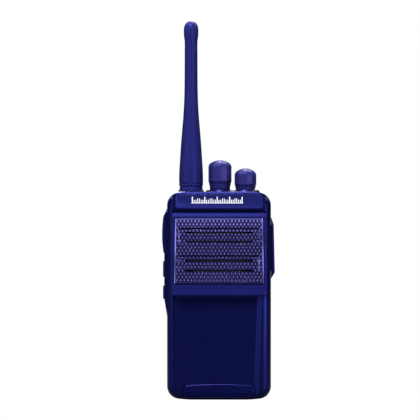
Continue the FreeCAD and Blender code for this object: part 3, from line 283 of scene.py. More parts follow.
@dataclass(frozen=True)
class Finish:
    """One surface finish; colours are linear, lengths in millimetres."""

    name: str
    base: Colour
    # the colour of rubbed edges; on the knurled grille, the painted highlight of its crests and rims
    worn_and_highlight: Colour
    roughness: float
    spread: float = 0.04
    grain: Grain = Grain.MOULDED
    grain_mm: float = 0.25
    depth_mm: float = 0.02
    metallic: float = 0.0
    specular: float = 0.5
    tint: Colour = (1.0, 1.0, 1.0)
    coat: float = 0.0
    sheen: float = 0.0
    wear: float = 0.3
    dust: float = 0.1
    tone: float = 0.03
    clear: float = 0.0

    def height(self, sheet: NodeSheet) -> tuple[bpy.types.NodeSocket, bpy.types.NodeSocket]:
        """Adds the nodes of the fine relief.

        Args:
            sheet: the material's sheet.

        Returns:
            The relief's socket, and the slow tone's socket.
        """
        grain = self.group(sheet, "grain", {"Fineness": 1.0 / (self.grain_mm * MM)})
        if self.grain is Grain.BRUSHED:
            lines = self.group(sheet, "hairlines", {"Fineness": 1.0 / (self.grain_mm * MM)})
            return lines.outputs["Height"], grain.outputs["Tone"]
        if self.grain is Grain.WOVEN:
            place = sheet.add("TexCoord").outputs["Object"]
            warp = sheet.add("TexWave", {"Vector": place, "Scale": 0.5 / (self.grain_mm * MM)},
                             bands_direction="X").outputs["Fac"]
            weft = sheet.add("TexWave", {"Vector": place, "Scale": 0.5 / (self.grain_mm * MM)},
                             bands_direction="Z").outputs["Fac"]
            return sheet.sum("MULTIPLY", warp, weft), grain.outputs["Tone"]
        if self.grain is Grain.BOARD:
            place = sheet.add("TexCoord").outputs["Object"]
            cells = sheet.add("TexVoronoi", {"Vector": place, "Scale": 700.0, "Randomness": 0.55},
                              distance="CHEBYCHEV", feature="DISTANCE_TO_EDGE").outputs["Distance"]
            return sheet.ramp(cells, 0.05, 0.09), grain.outputs["Tone"]
        return grain.outputs["Height"], grain.outputs["Tone"]

    def group(self, sheet: NodeSheet, name: str, values: dict) -> bpy.types.Node:
        """Places a shared node group.

        Args:
            sheet: the material's sheet.
            name: which of the shared groups.
            values: its inputs.

        Returns:
            The placed group's node.
        """
        node = sheet.tree.nodes.new("ShaderNodeGroup")
        node.node_tree = GROUPS[name]
        for key, value in values.items():
            node.inputs[key].default_value = value
        return node

    def make(self) -> bpy.types.Material:
        """Builds the material.

        Returns:
            The material.
        """
        material = bpy.data.materials.new(self.name)
        material.use_nodes = True
        material.node_tree.nodes.clear()
        sheet = NodeSheet(material.node_tree)
        shader = sheet.add("BsdfPrincipled", {
            "IOR": 1.5, "Specular IOR Level": self.specular, "Specular Tint": (*self.tint, 1.0),
            "Coat Weight": self.coat, "Coat Roughness": 0.12, "Sheen Weight": self.sheen,
            "Sheen Roughness": 0.4, "Metallic": self.metallic, "Transmission Weight": self.clear,
        })
        relief, tone = self.height(sheet)
        wear = self.group(sheet, "wear", {"Amount": self.wear}).outputs["Mask"]
        dust = self.group(sheet, "dust", {"Amount": self.dust}).outputs["Mask"]
        darker = tuple(c * (1.0 - self.tone) for c in self.base)
        lighter = tuple(c * (1.0 + self.tone) for c in self.base)
        colour = sheet.blend(tone, darker, lighter)
        if self.grain is Grain.BOARD:
            colour = sheet.blend(relief, self.worn_and_highlight, colour)
        if self.grain is Grain.KNURLED:
            rise = sheet.add("Attribute", attribute_name="rise").outputs["Fac"]
            # painted shade where the knurl is low, then a painted highlight on its crests and lit rims
            colour = sheet.blend(sheet.ramp(rise, *GROOVE_SHADE_SPAN), PAINTED_GROOVE_SHADE, colour)
            colour = sheet.blend(sheet.ramp(rise, *CREST_HIGHLIGHT_SPAN), colour, self.worn_and_highlight)
        colour = sheet.blend(wear, colour, self.worn_and_highlight)
        colour = sheet.blend(dust, colour, DUST_COLOUR)
        rough = sheet.sum("ADD", sheet.sum("MULTIPLY", tone, self.spread), self.roughness - self.spread / 2)
        rough = sheet.sum("ADD", rough, sheet.sum("MULTIPLY", dust, DUST_DULLS), True)
        rough = sheet.sum("SUBTRACT", rough, sheet.sum("MULTIPLY", wear, WEAR_POLISHES), True)
        bump = sheet.add("Bump", {"Strength": 1.0, "Distance": self.depth_mm * MM, "Height": relief})
        for socket, value in (("Base Color", colour), ("Roughness", rough), ("Normal", bump.outputs[0])):
            sheet.tree.links.new(value, shader.inputs[socket])
        output = sheet.add("OutputMaterial")
        sheet.tree.links.new(shader.outputs[0], output.inputs["Surface"])
        return material


def navy(name: str, base: Colour, roughness: float, worn_and_highlight: Colour = NAVY_WORN, tint: Colour = NAVY_TINT,
         **others: object) -> Finish:
    """Describes one of the navy plastics, which mostly share their gloss tint and worn colour.

    Args:
        name: the finish's name.
        base: its colour.
        roughness: how dull it is.
        worn_and_highlight: the colour of its rubbed edges; on the knurl, the painted highlight of its crests
            and rims.
        tint: the tint of its gloss.
        others: any other field of the finish.

    Returns:
        The finish.
    """
    return Finish(name, base, worn_and_highlight, roughness, tint=tint, **others)


FINISHES = {
    "housing_plastic": navy("housing_plastic", (0.0019, 0.0028, 0.0265), 0.30, grain_mm=0.22, depth_mm=0.004),
    # a lighter, duller copy of the housing's navy: its lightness is painted light, so the ledge band looks
    # lit from above
    "bezel_plastic": navy("bezel_plastic", (0.0045, 0.0050, 0.050), 0.6, grain_mm=0.22, depth_mm=0.004,
                          wear=0.1),
    # the grille has no edge wear: its pale second colour is the painted highlight on its crests and rims
    "grille_plastic": navy("grille_plastic", (0.015, 0.012, 0.062), 0.28, grain=Grain.KNURLED, grain_mm=0.12,
                           depth_mm=0.003, specular=0.9, wear=0.0, worn_and_highlight=(0.24, 0.21, 0.66), tint=PURPLE_TINT),
    "cover_plastic": navy("cover_plastic", (0.0016, 0.0022, 0.026), 0.32, grain_mm=0.18, depth_mm=0.004),
    "plate_gloss": navy("plate_gloss", (0.0090, 0.0115, 0.085), 0.3, grain_mm=0.3, depth_mm=0.003, coat=0.1),
    "key_rubber": navy("key_rubber", (0.0020, 0.0022, 0.024), 0.5, grain_mm=0.12, depth_mm=0.006),
    "knob_plastic": navy("knob_plastic", (0.0125, 0.0130, 0.086), 0.42, grain_mm=0.2, depth_mm=0.003,
                         tint=PURPLE_TINT, wear=0.15),
    "antenna_rubber": navy("antenna_rubber", (0.0085, 0.0100, 0.072), 0.42, grain_mm=0.2, depth_mm=0.005,
                           wear=0.15),
    "battery_plastic": navy("battery_plastic", (0.0022, 0.0031, 0.028), 0.4, grain_mm=0.25, depth_mm=0.006),
    "label_film": navy("label_film", (0.009, 0.010, 0.055), 0.28, grain_mm=0.35, depth_mm=0.002, coat=0.2),
    "print_white": Finish("print_white", (0.85, 0.85, 0.9), (0.6, 0.6, 0.7), 0.45, depth_mm=0.002, dust=0.0),
    "pointer_paint": Finish("pointer_paint", (0.10, 0.09, 0.36), (0.2, 0.2, 0.5), 0.4, depth_mm=0.002,
                            dust=0.0),
    "lens_clear": Finish("lens_clear", (0.4, 0.45, 0.75), (0.5, 0.5, 0.8), 0.25, depth_mm=0.002, clear=0.6,
                         wear=0.0, dust=0.0),
    "brass": Finish("brass", (0.6, 0.4, 0.14), (0.75, 0.55, 0.25), 0.28, grain=Grain.BRUSHED, grain_mm=0.1,
                    depth_mm=0.003, metallic=1.0, dust=0.05),
    "steel": Finish("steel", (0.45, 0.45, 0.48), (0.6, 0.6, 0.62), 0.3, grain=Grain.BRUSHED, grain_mm=0.08,
                    depth_mm=0.003, metallic=1.0, dust=0.05),
    "spring_steel": Finish("spring_steel", (0.3, 0.3, 0.32), (0.5, 0.5, 0.5), 0.35, grain=Grain.BRUSHED,
                           grain_mm=0.06, depth_mm=0.002, metallic=1.0, dust=0.05),
    "die_cast": Finish("die_cast", (0.33, 0.34, 0.36), (0.5, 0.5, 0.52), 0.5, grain=Grain.CAST, grain_mm=0.3,
                       depth_mm=0.03, metallic=1.0),
    "seal_rubber": Finish("seal_rubber", (0.012, 0.012, 0.014), (0.05, 0.05, 0.05), 0.7, grain_mm=0.15,
                          depth_mm=0.01, sheen=0.15),
    "circuit_board": Finish("circuit_board", (0.004, 0.09, 0.03), (0.02, 0.2, 0.07), 0.3, grain=Grain.BOARD,
                            depth_mm=0.02, coat=0.3),
    "component_black": Finish("component_black", (0.012, 0.012, 0.013), (0.08, 0.08, 0.08), 0.5,
                              grain_mm=0.12, depth_mm=0.01),
    "tin_plate": Finish("tin_plate", (0.55, 0.55, 0.56), (0.7, 0.7, 0.7), 0.32, grain=Grain.CAST,
                        grain_mm=0.8, depth_mm=0.01, metallic=1.0),
    "gold_contact": Finish("gold_contact", (0.8, 0.55, 0.2), (0.9, 0.75, 0.4), 0.25, grain=Grain.BRUSHED,
                           grain_mm=0.08, depth_mm=0.002, metallic=1.0),
    "white_insulator": Finish("white_insulator", (0.75, 0.75, 0.72), (0.8, 0.8, 0.8), 0.4, depth_mm=0.004),
    "glass_fibre": Finish("glass_fibre", (0.6, 0.58, 0.42), (0.7, 0.7, 0.6), 0.35, grain=Grain.BRUSHED,
                          grain_mm=0.1, depth_mm=0.01),
    "cone_paper": Finish("cone_paper", (0.02, 0.02, 0.02), (0.06, 0.06, 0.06), 0.85, grain_mm=0.4,
                         depth_mm=0.05),
    "magnet": Finish("magnet", (0.2, 0.2, 0.22), (0.4, 0.4, 0.4), 0.45, grain=Grain.CAST, metallic=1.0),
    "dust_cloth": Finish("dust_cloth", (0.008, 0.008, 0.012), (0.03, 0.03, 0.03), 0.9, grain=Grain.WOVEN,
                         grain_mm=0.3, depth_mm=0.08, sheen=0.3),
    "cell_wrap": Finish("cell_wrap", (0.05, 0.14, 0.4), (0.3, 0.4, 0.6), 0.25, depth_mm=0.01, coat=0.4),
}


class Paintbox:
    """Makes each finish's material once and hands it out."""

    def __init__(self) -> None:
        """Starts with no materials made."""
        self.made: dict[str, bpy.types.Material] = {}

    def get(self, slot: str) -> bpy.types.Material:
        """Gives a slot's material.

        Args:
            slot: the material slot's name.

        Returns:
            The material, made on its first use.
        """
        if slot not in self.made:
            self.made[slot] = FINISHES[slot].make()
        return self.made[slot]

    def dress_frame(self) -> None:
        """Puts each frame node's finish on it."""
        for entry in frame["record"]["subparts"]:
            node = frame["nodes"][entry["node"]]
            node.data.materials.clear()
            node.data.materials.append(self.get(entry["material_slot"]))


PAINT = Paintbox()


# ---- mesh work ----------------------------------------------------------------------------------
def held(value: float) -> float:
    """Returns a value held between 0 and 1."""
    return min(max(value, 0.0), 1.0)


def shade(bm: bmesh.types.BMesh, sharp_deg: float) -> None:
    """Smooths the faces and keeps the corners crisp.

    Args:
        bm: the mesh.
        sharp_deg: an edge that bends more than this stays sharp.
    """
    for face in bm.faces:
        face.smooth = True
    for edge in bm.edges:
        edge.smooth = edge.calc_face_angle(math.pi) < math.radians(sharp_deg)


def make_piece(bm: bmesh.types.BMesh, name: str, body: str, slot: str, stands_for: Sequence[str] = (),
               paint: Optional[str] = None, sharp_deg: float = 38.0,
               repair: bool = True) -> bpy.types.Object:
    """Turns a mesh drawn in millimetres into a finished piece on its body.

    Args:
        bm: the mesh, which is used up.
        name: the piece's name.
        body: the body that it rides on.
        slot: the record's material slot.
        stands_for: the frame nodes that it replaces.
        paint: the finish, if it isn't the slot's own.
        sharp_deg: an edge that bends more than this stays sharp.
        repair: whether doubles are merged and the faces turned outwards.

    Returns:
        The piece.
    """
    if repair:
        bmesh.ops.remove_doubles(bm, verts=bm.verts, dist=1e-4)
        bmesh.ops.recalc_face_normals(bm, faces=bm.faces)
    shade(bm, sharp_deg)
    bmesh.ops.scale(bm, vec=(MM,) * 3, verts=bm.verts)
    mesh = bpy.data.meshes.new(name)
    bm.to_mesh(mesh)
    bm.free()
    piece = bpy.data.objects.new(name, mesh)
    bpy.context.scene.collection.objects.link(piece)
    mesh.materials.append(PAINT.get(paint or slot))
    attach(piece, body)
    if stands_for:
        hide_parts(*stands_for)
    log.info("%s: %d faces on %s", name, len(mesh.polygons), body)
    return piece


def soften(piece: bpy.types.Object, width_mm: float) -> None:
    """Rounds a piece's corners.

    Args:
        piece: the piece.
        width_mm: the rounding's width.
    """
    bevel = piece.modifiers.new("rounding", "BEVEL")
    bevel.width = width_mm * MM
    bevel.segments = 3
    bevel.limit_method = "ANGLE"
    bevel.angle_limit = math.radians(32.0)
    bevel.harden_normals = True
    bevel.miter_outer = "MITER_ARC"


def softened_node(node: str, body: str, width_mm: float, paint: Optional[str] = None) -> None:
    """Copies a frame node and rounds its corners, as a moulding's corners are.

    Args:
        node: the frame node.
        body: the body that it rides on.
        width_mm: the rounding's width.
        paint: the finish, if it isn't its slot's own.
    """
    bm = bmesh.new()
    bm.from_mesh(frame["nodes"][node].data)
    bmesh.ops.scale(bm, vec=(1 / MM,) * 3, verts=bm.verts)
    bmesh.ops.remove_doubles(bm, verts=bm.verts, dist=5e-4)
    bmesh.ops.dissolve_limit(bm, angle_limit=math.radians(0.4), use_dissolve_boundaries=False,
                             verts=bm.verts, edges=bm.edges)
    slot = next(e["material_slot"] for e in frame["record"]["subparts"] if e["node"] == node)
    piece = make_piece(bm, node + "_moulding", body, slot, (node,), paint, sharp_deg=25.0, repair=False)
    soften(piece, width_mm)


def lathe(bm: bmesh.types.BMesh, profile: Profile, centre: tuple[float, float], steps: int) -> None:
    """Spins a profile round an upright axis.

    Args:
        bm: the mesh that gets the shape.
        profile: (radius, height) points, from the axis and back to it.
        centre: x and y of the axis.
        steps: how many sides the turning has.
    """
    verts = [bm.verts.new((centre[0] + radius, centre[1], height)) for radius, height in profile]
    edges = [bm.edges.new(pair) for pair in zip(verts, verts[1:])]
    bmesh.ops.spin(bm, geom=verts + edges, cent=(*centre, 0.0), axis=(0, 0, 1), angle=math.tau,
                   steps=steps, use_merge=True, use_duplicate=False)
    bmesh.ops.remove_doubles(bm, verts=bm.verts, dist=1e-4)


def slab(bm: bmesh.types.BMesh, low: Sequence[float], high: Sequence[float], corner: float = 0.0,
         along: Axis = Axis.Y, edge: float = 0.0) -> None:
    """Adds a block, with its edges along one axis rounded and then its other edges eased.

    Args:
        bm: the mesh that gets the shape.
        low: the block's lowest corner.
        high: its highest corner.
        corner: the rounding of the edges along the axis.
        along: the axis.
        edge: the easing of every other edge.
    """
    before = set(bm.verts)
    size = [b - a for a, b in zip(low, high)]
    middle = [(a + b) / 2 for a, b in zip(low, high)]
    place = Matrix.Translation(middle) @ Matrix.Diagonal((*size, 1.0))
    bmesh.ops.create_cube(bm, size=1.0, matrix=place)
    if corner:
        edges = [e for e in bm.edges if e.verts[0] not in before
                 and abs((e.verts[0].co - e.verts[1].co).normalized().dot(along.vector())) > 0.99]
        bmesh.ops.bevel(bm, geom=edges, offset=corner, offset_type="OFFSET", segments=4, profile=0.5,
                        affect="EDGES", material=-1)
    if edge:
        mine = [e for e in bm.edges if e.verts[0] not in before and e.calc_face_angle(0.0) > 0.9]
        bmesh.ops.bevel(bm, geom=mine, offset=edge, offset_type="OFFSET", segments=3, profile=0.5,
                        affect="EDGES", material=-1)


def smooth_curve(points: Profile, steps: int) -> list[tuple[float, float]]:
    """Runs a smooth line through points of (value, height).

    Args:
        points: the points that it passes through.
        steps: how many pieces each span is cut into.

    Returns:
        The line's points.
    """
    line: list[tuple[float, float]] = []
    for k in range(len(points) - 1):
        before, start, end, after = (Vector(points[min(max(j, 0), len(points) - 1)])
                                     for j in (k - 1, k, k + 1, k + 2))
        for step in range(steps):
            t = step / steps
            spot = 0.5 * (2 * start + (end - before) * t + (2 * before - 5 * start + 4 * end - after) * t ** 2
                          + (3 * start - before - 3 * end + after) * t ** 3)
            line.append((spot.x, spot.y))
    line.append(tuple(points[-1]))
    return line


# ---- sub-assemblies -----------------------------------------------------------------------------
@dataclass
class SpeakerGrille:
    """The knurled panel over the speaker, in millimetres."""

    bottom: float = 63.85
    top: float = 99.6
    half_bottom: float = 24.6
    half_top: float = 24.0
    base_y: float = -16.2
    back_y: float = -15.62
    peak: float = 0.75
    pitch_x: float = 2.0
    pitch_z: float = 3.6
    divisions: int = 8
    tip: float = 0.12                   # how blunt the diamonds are, as a share of their half width
    border: float = 0.5                 # the plain rim's width
    border_rise: float = 0.3            # its height, as a share of the knurl's
    border_fade: float = 0.5            # the knurl reaches its full height this far inside the rim
    drop: float = 0.32                  # the panel's outermost edge curves back by this much
    drop_reach: float = 0.35            # over this width
    trough_depth: float = 0.3
    trough_half: float = 22.2
    trough_slopes: tuple = (0.6, 1.6, 0.35)     # widths of its slopes at the ends, below and above
    troughs: tuple = ((70.2, 78.9), (86.0, 93.9))
    brow: float = 0.6                   # half the height of the smooth band over each trough
    brow_fade: float = 0.3
    low_highlight_share: float = 0.68              # share of the knurl's height that is painted as highlight, low down
    highlight_from: float = 90.0             # above this height the share grows to the whole
    highlight_over: float = 6.0
    # strengths of the painted highlight on the side rims and on the top rim
    rim_highlight: float = 1.3
    top_rim_highlight: float = 0.7
    slots: tuple = (71.0, 76.5, 86.9, 91.9)
    slot_half: float = 18.8
    slot_height: float = 1.1

    def half(self, z: float) -> float:
        """Returns the panel's half width at height z."""
        share = (z - self.bottom) / (self.top - self.bottom)
        return self.half_bottom + (self.half_top - self.half_bottom) * share

    def relief(self, x: float, z: float) -> tuple[float, float]:
        """Works out how far the surface stands towards the front.

        Args:
            x: the place across.
            z: the place up.

        Returns:
            The knurl's own height, and the level that it stands on over the base plane.
        """
        a = x / self.pitch_x + (z - self.slots[0]) / self.pitch_z
        b = x / self.pitch_x - (z - self.slots[0]) / self.pitch_z
        away = max(abs(a - round(a)), abs(b - round(b))) * 2
        diamond = 1 - math.hypot(away, self.tip) / math.hypot(1.0, self.tip)
        margin = min(self.half(z) - abs(x), z - self.bottom, self.top - z)
        inside = held((margin - self.border) / self.border_fade)
        eased = -self.drop * max(0.0, 1.0 - margin / self.drop_reach) ** 2
        end_slope, low_slope, high_slope = self.trough_slopes
        across = held((self.trough_half - abs(x)) / end_slope)
        sunk, cut = 0.0, 0.0
        for low, high in self.troughs:
            sunk = max(sunk, across * held((z - low) / low_slope) * held((high - z) / high_slope))
            line = held((self.brow - abs(z - high)) / self.brow_fade)
            cut = max(cut, line * inside * across)
        rim = self.border_rise * self.peak * (1 - inside)
        standing = (self.peak * diamond * inside + rim) * (1 - cut)
        return standing, eased - self.trough_depth * max(sunk, cut)

    def highlight_share_at(self, z: float) -> float:
        """Returns how much of the knurl's height is painted as highlight at height z: most near the top,
        where the light falls.
        """
        return self.low_highlight_share + (1.0 - self.low_highlight_share) * held((z - self.highlight_from) / self.highlight_over)

    def painted_rim_highlight(self, x: float, z: float) -> float:
        """Works out the painted highlight on the rims and on the lit end walls of the troughs.

        Args:
            x: the place across.
            z: the place up.

        Returns:
            The painted highlight, from 0; over 1 counts as 1.
        """
        share = (z - self.bottom) / (self.top - self.bottom)
        # the painted highlight comes and goes along the rims; on the left rim it grows towards the top, where
        # more light falls
        patchy = 0.75 + 0.25 * math.sin(9.0 * share + (2.0 if x < 0 else 4.5))
        side = 1.0 - abs(self.half(z) - abs(x) - self.border / 2) / self.border
        crest = 1.0 - abs(self.top - z - self.border / 2) / self.border
        end = 1.0 - abs(self.trough_half - 0.3 - abs(x)) / 0.45
        sunk = any(low + 0.5 < z < high - self.brow for low, high in self.troughs)
        rim = patchy * (0.6 + 0.4 * share if x < 0 else 0.7) * min(1.0, 1.6 * side)
        return max(0.0, self.rim_highlight * rim, self.top_rim_highlight * crest, patchy * end if sunk else 0.0)

    def build(self) -> None:
        """Makes the panel: a fine sheet with its slots cut, pressed to the knurl, then thickened."""
        bm = bmesh.new()
        rise = bm.verts.layers.float.new("rise")
        width, height = 2 * self.half_bottom, self.top - self.bottom
        columns = round(width / (self.pitch_x / self.divisions))
        rows = round(height / (self.pitch_z / self.divisions))
        turn = Matrix.Rotation(math.radians(90), 4, "X")
        place = Matrix.Translation((0, 0, (self.top + self.bottom) / 2)) @ turn
        stretch = Matrix.Diagonal((width, height, 1.0, 1.0))
        bmesh.ops.create_grid(bm, x_segments=columns, y_segments=rows, size=0.5, matrix=place @ stretch)
        cuts = [(Axis.X, side * self.slot_half) for side in (-1, 1)]
        cuts += [(Axis.Z, z + side * self.slot_height / 2) for z in self.slots for side in (-1, 1)]
        for axis, level in cuts:
            bmesh.ops.bisect_plane(bm, geom=bm.verts[:] + bm.edges[:] + bm.faces[:], dist=1e-4,
                                   plane_co=axis.vector() * level, plane_no=axis.vector())
        holes = [f for f in bm.faces if self.in_slot(f.calc_center_median())]
        bmesh.ops.delete(bm, geom=holes, context="FACES")
        bmesh.ops.poke(bm, faces=bm.faces, offset=0.0)
        bmesh.ops.recalc_face_normals(bm, faces=bm.faces)
        if sum(f.normal.y for f in bm.faces) > 0:
            bmesh.ops.reverse_faces(bm, faces=bm.faces)
        front = bm.verts[:]
        for vert in front:
            vert.co.x *= self.half(vert.co.z) / self.half_bottom
        skin = bmesh.ops.extrude_face_region(bm, geom=bm.faces[:])
        moved = [g for g in skin["geom"] if isinstance(g, bmesh.types.BMVert)]
        for vert in moved:
            knurl, level = self.relief(vert.co.x, vert.co.z)
            vert.co.y = self.base_y - knurl - level
            # the rise attribute carries painted light: shade where it is low, highlight on the crests, more
            # near the top, and on the rims and trough ends
            vert[rise] = max(self.highlight_share_at(vert.co.z) * knurl / self.peak, self.painted_rim_highlight(vert.co.x, vert.co.z))
        for vert in front:
            vert.co.y = self.back_y
        make_piece(bm, "knurled_grille", "radio", "grille_plastic", ("speaker_grille",), sharp_deg=30)

    def in_slot(self, spot: Vector) -> bool:
        """Returns whether a spot lies in one of the sound slots."""
        near = any(abs(spot.z - z) < self.slot_height / 2 for z in self.slots)
        return near and abs(spot.x) < self.slot_half


@dataclass
class NamePlate:
    """The plate across the head with a plain printed scale, in millimetres."""

    corner: float = 1.3
    border: float = 0.5
    sink: float = 0.2
    slope: float = 0.38
    scale_rise: float = 3.1
    scale_half: float = 13.6
    scale_middle: float = -1.0
    ticks: int = 28

    def __post_init__(self) -> None:
        """Takes the plate's corners from the frame."""
        self.low, self.high = (Vector(corner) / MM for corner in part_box("name_plate"))

    def build(self) -> None:
        """Makes the plate and its printed tuning scale."""
        bm = bmesh.new()
        slab(bm, self.low, self.high, self.corner, Axis.Y, 0.12)
        face = min(bm.faces, key=lambda f: (round(f.calc_center_median().y, 3), -f.calc_area()))
        bmesh.ops.inset_region(bm, faces=[face], thickness=self.border, depth=0.0)
        bmesh.ops.inset_region(bm, faces=[face], thickness=self.slope, depth=-self.sink)
        make_piece(bm, "head_plate", "radio", "plate_gloss", ("name_plate",))
        self.build_scale()

    def build_scale(self) -> None:
        """Makes the printed scale: upright ticks of three heights over a base line."""
        bm = bmesh.new()
        front = self.low.y + self.sink
        foot = self.low.z + self.scale_rise
        for k in range(self.ticks + 1):
            x = self.scale_middle - self.scale_half + 2 * self.scale_half * k / self.ticks
            tall = 3.3 if k % 7 == 0 else 2.4 if k % 7 in (3, 4) else 1.7
            wide = 0.5 if k % 7 == 0 else 0.34
            slab(bm, (x - wide / 2, front - 0.05, foot), (x + wide / 2, front + 0.02, foot + tall))
        slab(bm, (self.scale_middle - self.scale_half - 0.5, front - 0.05, foot - 0.22),
             (self.scale_middle + self.scale_half + 0.5, front + 0.02, foot + 0.05))
        make_piece(bm, "printed_scale", "radio", "plate_gloss", paint="print_white")


@dataclass
class Knob:
    """A domed, fluted control knob, in millimetres."""

    name: str
    node: str
    body: str
    neck: float
    grip: float
    cone: float
    dome: float = 3.0
    shoulder: float = 0.8               # the dome starts this far in from the grip's side
    shoulder_rise: float = 1.0          # and this far over the grip's edge
    flutes: int = 10
    flute_depth: float = 0.42
    sides: int = 160

    def __post_init__(self) -> None:
        """Takes the knob's place from the frame."""
        low, high = (Vector(corner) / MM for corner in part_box(self.node))
        self.x, self.y = (low.x + high.x) / 2, (low.y + high.y) / 2
        self.foot, self.top = low.z, high.z

    def fall(self, radius: float) -> float:
        """Returns how far the dome lies under its top at a radius."""
        return (self.dome - self.shoulder_rise) * (radius / (self.grip - self.shoulder)) ** 2

    def profile(self) -> list[tuple[float, float]]:
        """Returns the (radius, height) outline from the axis underneath to the axis on top."""
        edge = self.top - self.dome
        outline = [(0.0, self.foot), (self.neck - 0.3, self.foot), (self.neck, self.foot + 0.3),
                   (self.neck + 0.05, self.cone - 2.0), (self.neck + 0.35, self.cone - 1.0),
                   (self.grip - 0.4, self.cone + 0.45), (self.grip - 0.1, self.cone + 0.7),
                   (self.grip, self.cone + 1.05)]
        rings = 10
        wall = edge - 1.0 - self.cone - 1.05
        outline += [(self.grip, self.cone + 1.05 + wall * k / rings) for k in range(1, rings + 1)]
        outline += [(self.grip - 0.04, edge - 0.45), (self.grip - 0.16, edge + 0.05),
                    (self.grip - 0.42, edge + 0.5)]
        steps = 12
        reach = self.grip - self.shoulder
        inward = [reach * k / steps for k in range(steps, -1, -1)]
        return outline + [(radius, self.top - self.fall(radius)) for radius in inward]

    def build(self) -> None:
        """Makes the knob, its flutes and the pointer on its top."""
        bm = bmesh.new()
        lathe(bm, self.profile(), (self.x, self.y), self.sides)
        # The flutes fade in over the cone, and out towards the axis.
        for vert in bm.verts:
            dx, dy = vert.co.x - self.x, vert.co.y - self.y
            radius = math.hypot(dx, dy)
            over = held((vert.co.z - self.cone - 0.2) / 1.2)
            outer = held((radius - (self.grip - 1.6)) / 1.4)
            scoop = abs(math.sin(self.flutes * (math.atan2(dy, dx) + math.pi / 2) / 2)) ** 0.8
            less = self.flute_depth * scoop * over * outer
            if radius > 1e-6:
                vert.co.x = self.x + dx * (radius - less) / radius
                vert.co.y = self.y + dy * (radius - less) / radius
        make_piece(bm, self.name, self.body, "knob_plastic", (self.node,), sharp_deg=50)
        self.build_pointer()

    def build_pointer(self) -> None:
        """Makes the pale pointer, bent to lie on the dome."""
        bm = bmesh.new()
        slab(bm, (self.x - 0.28, self.y - self.grip + 2.6, self.top - 0.2),
             (self.x + 0.28, self.y - 0.9, self.top + 0.06), 0.2, Axis.Z)
        long = [e for e in bm.edges if abs(e.verts[0].co.y - e.verts[1].co.y) > 1.0]
        bmesh.ops.subdivide_edges(bm, edges=long, cuts=6, use_grid_fill=True)
        for vert in bm.verts:
            vert.co.z -= self.fall(math.hypot(vert.co.x - self.x, vert.co.y - self.y))
        make_piece(bm, self.name + "_pointer", self.body, "knob_plastic", paint="pointer_paint")


@dataclass
class Whip:
    """The antenna's moulded sheath and collar, in millimetres."""

    x: float = -15.4
    y: float = -1.0
    sides: int = 96

    def build(self) -> None:
        """Makes the sheath with its bulb tip and the ribbed collar under it."""
        taper = [(6.62, 119.0), (6.62, 122.0), (6.5, 126.0), (6.05, 133.4), (5.5, 141.6), (4.95, 148.2),
                 (4.4, 154.8), (4.02, 160.5), (3.75, 167.0), (3.6, 176.0), (3.55, 190.0), (3.54, 196.8),
                 (3.8, 199.0), (4.0, 201.0), (4.05, 203.0), (3.92, 204.9), (3.4, 206.6), (2.4, 207.8)]
        outline = [(0.0, 118.6), (6.3, 118.6), (6.5, 118.8)] + smooth_curve(taper, 4)
        outline += [(1.2, 208.35), (0.0, 208.48)]
        bm = bmesh.new()
        lathe(bm, outline, (self.x, self.y), self.sides)
        make_piece(bm, "whip_sheath", "antenna", "antenna_rubber", ("antenna_sheath",))
        collar = [(0.0, 115.35), (6.2, 115.35), (6.48, 115.6), (6.5, 116.1), (6.25, 116.6), (6.2, 117.0),
                  (6.3, 117.4), (6.58, 117.7), (6.6, 118.4), (6.45, 118.6), (0.0, 118.6)]
        bm = bmesh.new()
        lathe(bm, collar, (self.x, self.y), self.sides)
        make_piece(bm, "whip_collar", "antenna", "antenna_rubber", ("antenna_collar",))


@dataclass
class Mouldings:
    """The housing, bezel, covers and battery: frame nodes with their corners rounded."""

    housing_edge: float = 0.22
    bezel_edge: float = 0.15
    trim_edge: float = 0.25
    lever_edge: float = 0.4

    def build(self) -> None:
        """Makes every rounded moulding."""
        softened_node("front_housing", "radio", self.housing_edge)
        # painted lighter than the housing, standing for the lit ledge band
        softened_node("grille_bezel", "radio", self.bezel_edge, paint="bezel_plastic")
        softened_node("key_bezel", "radio", self.trim_edge)
        softened_node("ptt_key", "talk_key", self.trim_edge)
        softened_node("side_key_upper", "upper_key", self.trim_edge)
        softened_node("side_key_lower", "lower_key", self.trim_edge)
        softened_node("accessory_cover", "port_cover", self.trim_edge)
        softened_node("battery_latch", "latch", self.trim_edge)
        softened_node("battery_case", "battery", self.trim_edge)
        softened_node("battery_cover", "battery", self.trim_edge)
        softened_node("clip_lever", "belt_clip", self.lever_edge)
        softened_node("clip_bracket", "radio", self.trim_edge)


@dataclass(frozen=True)
class Lamp:
    """A rectangular lamp: angles in degrees, lengths in metres, power in watts.

    Azimuth 0 is in front of the radio and grows to its right.
    """

    name: str
    azimuth: float
    elevation: float
    distance: float
    width: float
    height: float
    power: float


LAMPS = (
    Lamp("overhead", -13.0, 57.0, 0.8, 0.2, 0.28, 14.0),
    Lamp("right_strip", 34.0, -1.0, 0.9, 0.1, 0.16, 2.6),
    Lamp("left_box", -52.0, 4.0, 0.9, 0.15, 0.3, 1.2),
    Lamp("back_fill", 165.0, 60.0, 0.9, 0.5, 0.4, 6.0),
    Lamp("left_back", -115.0, 45.0, 0.9, 0.3, 0.3, 2.0),
    Lamp("right_side", 100.0, 40.0, 0.9, 0.3, 0.3, 2.0),
)


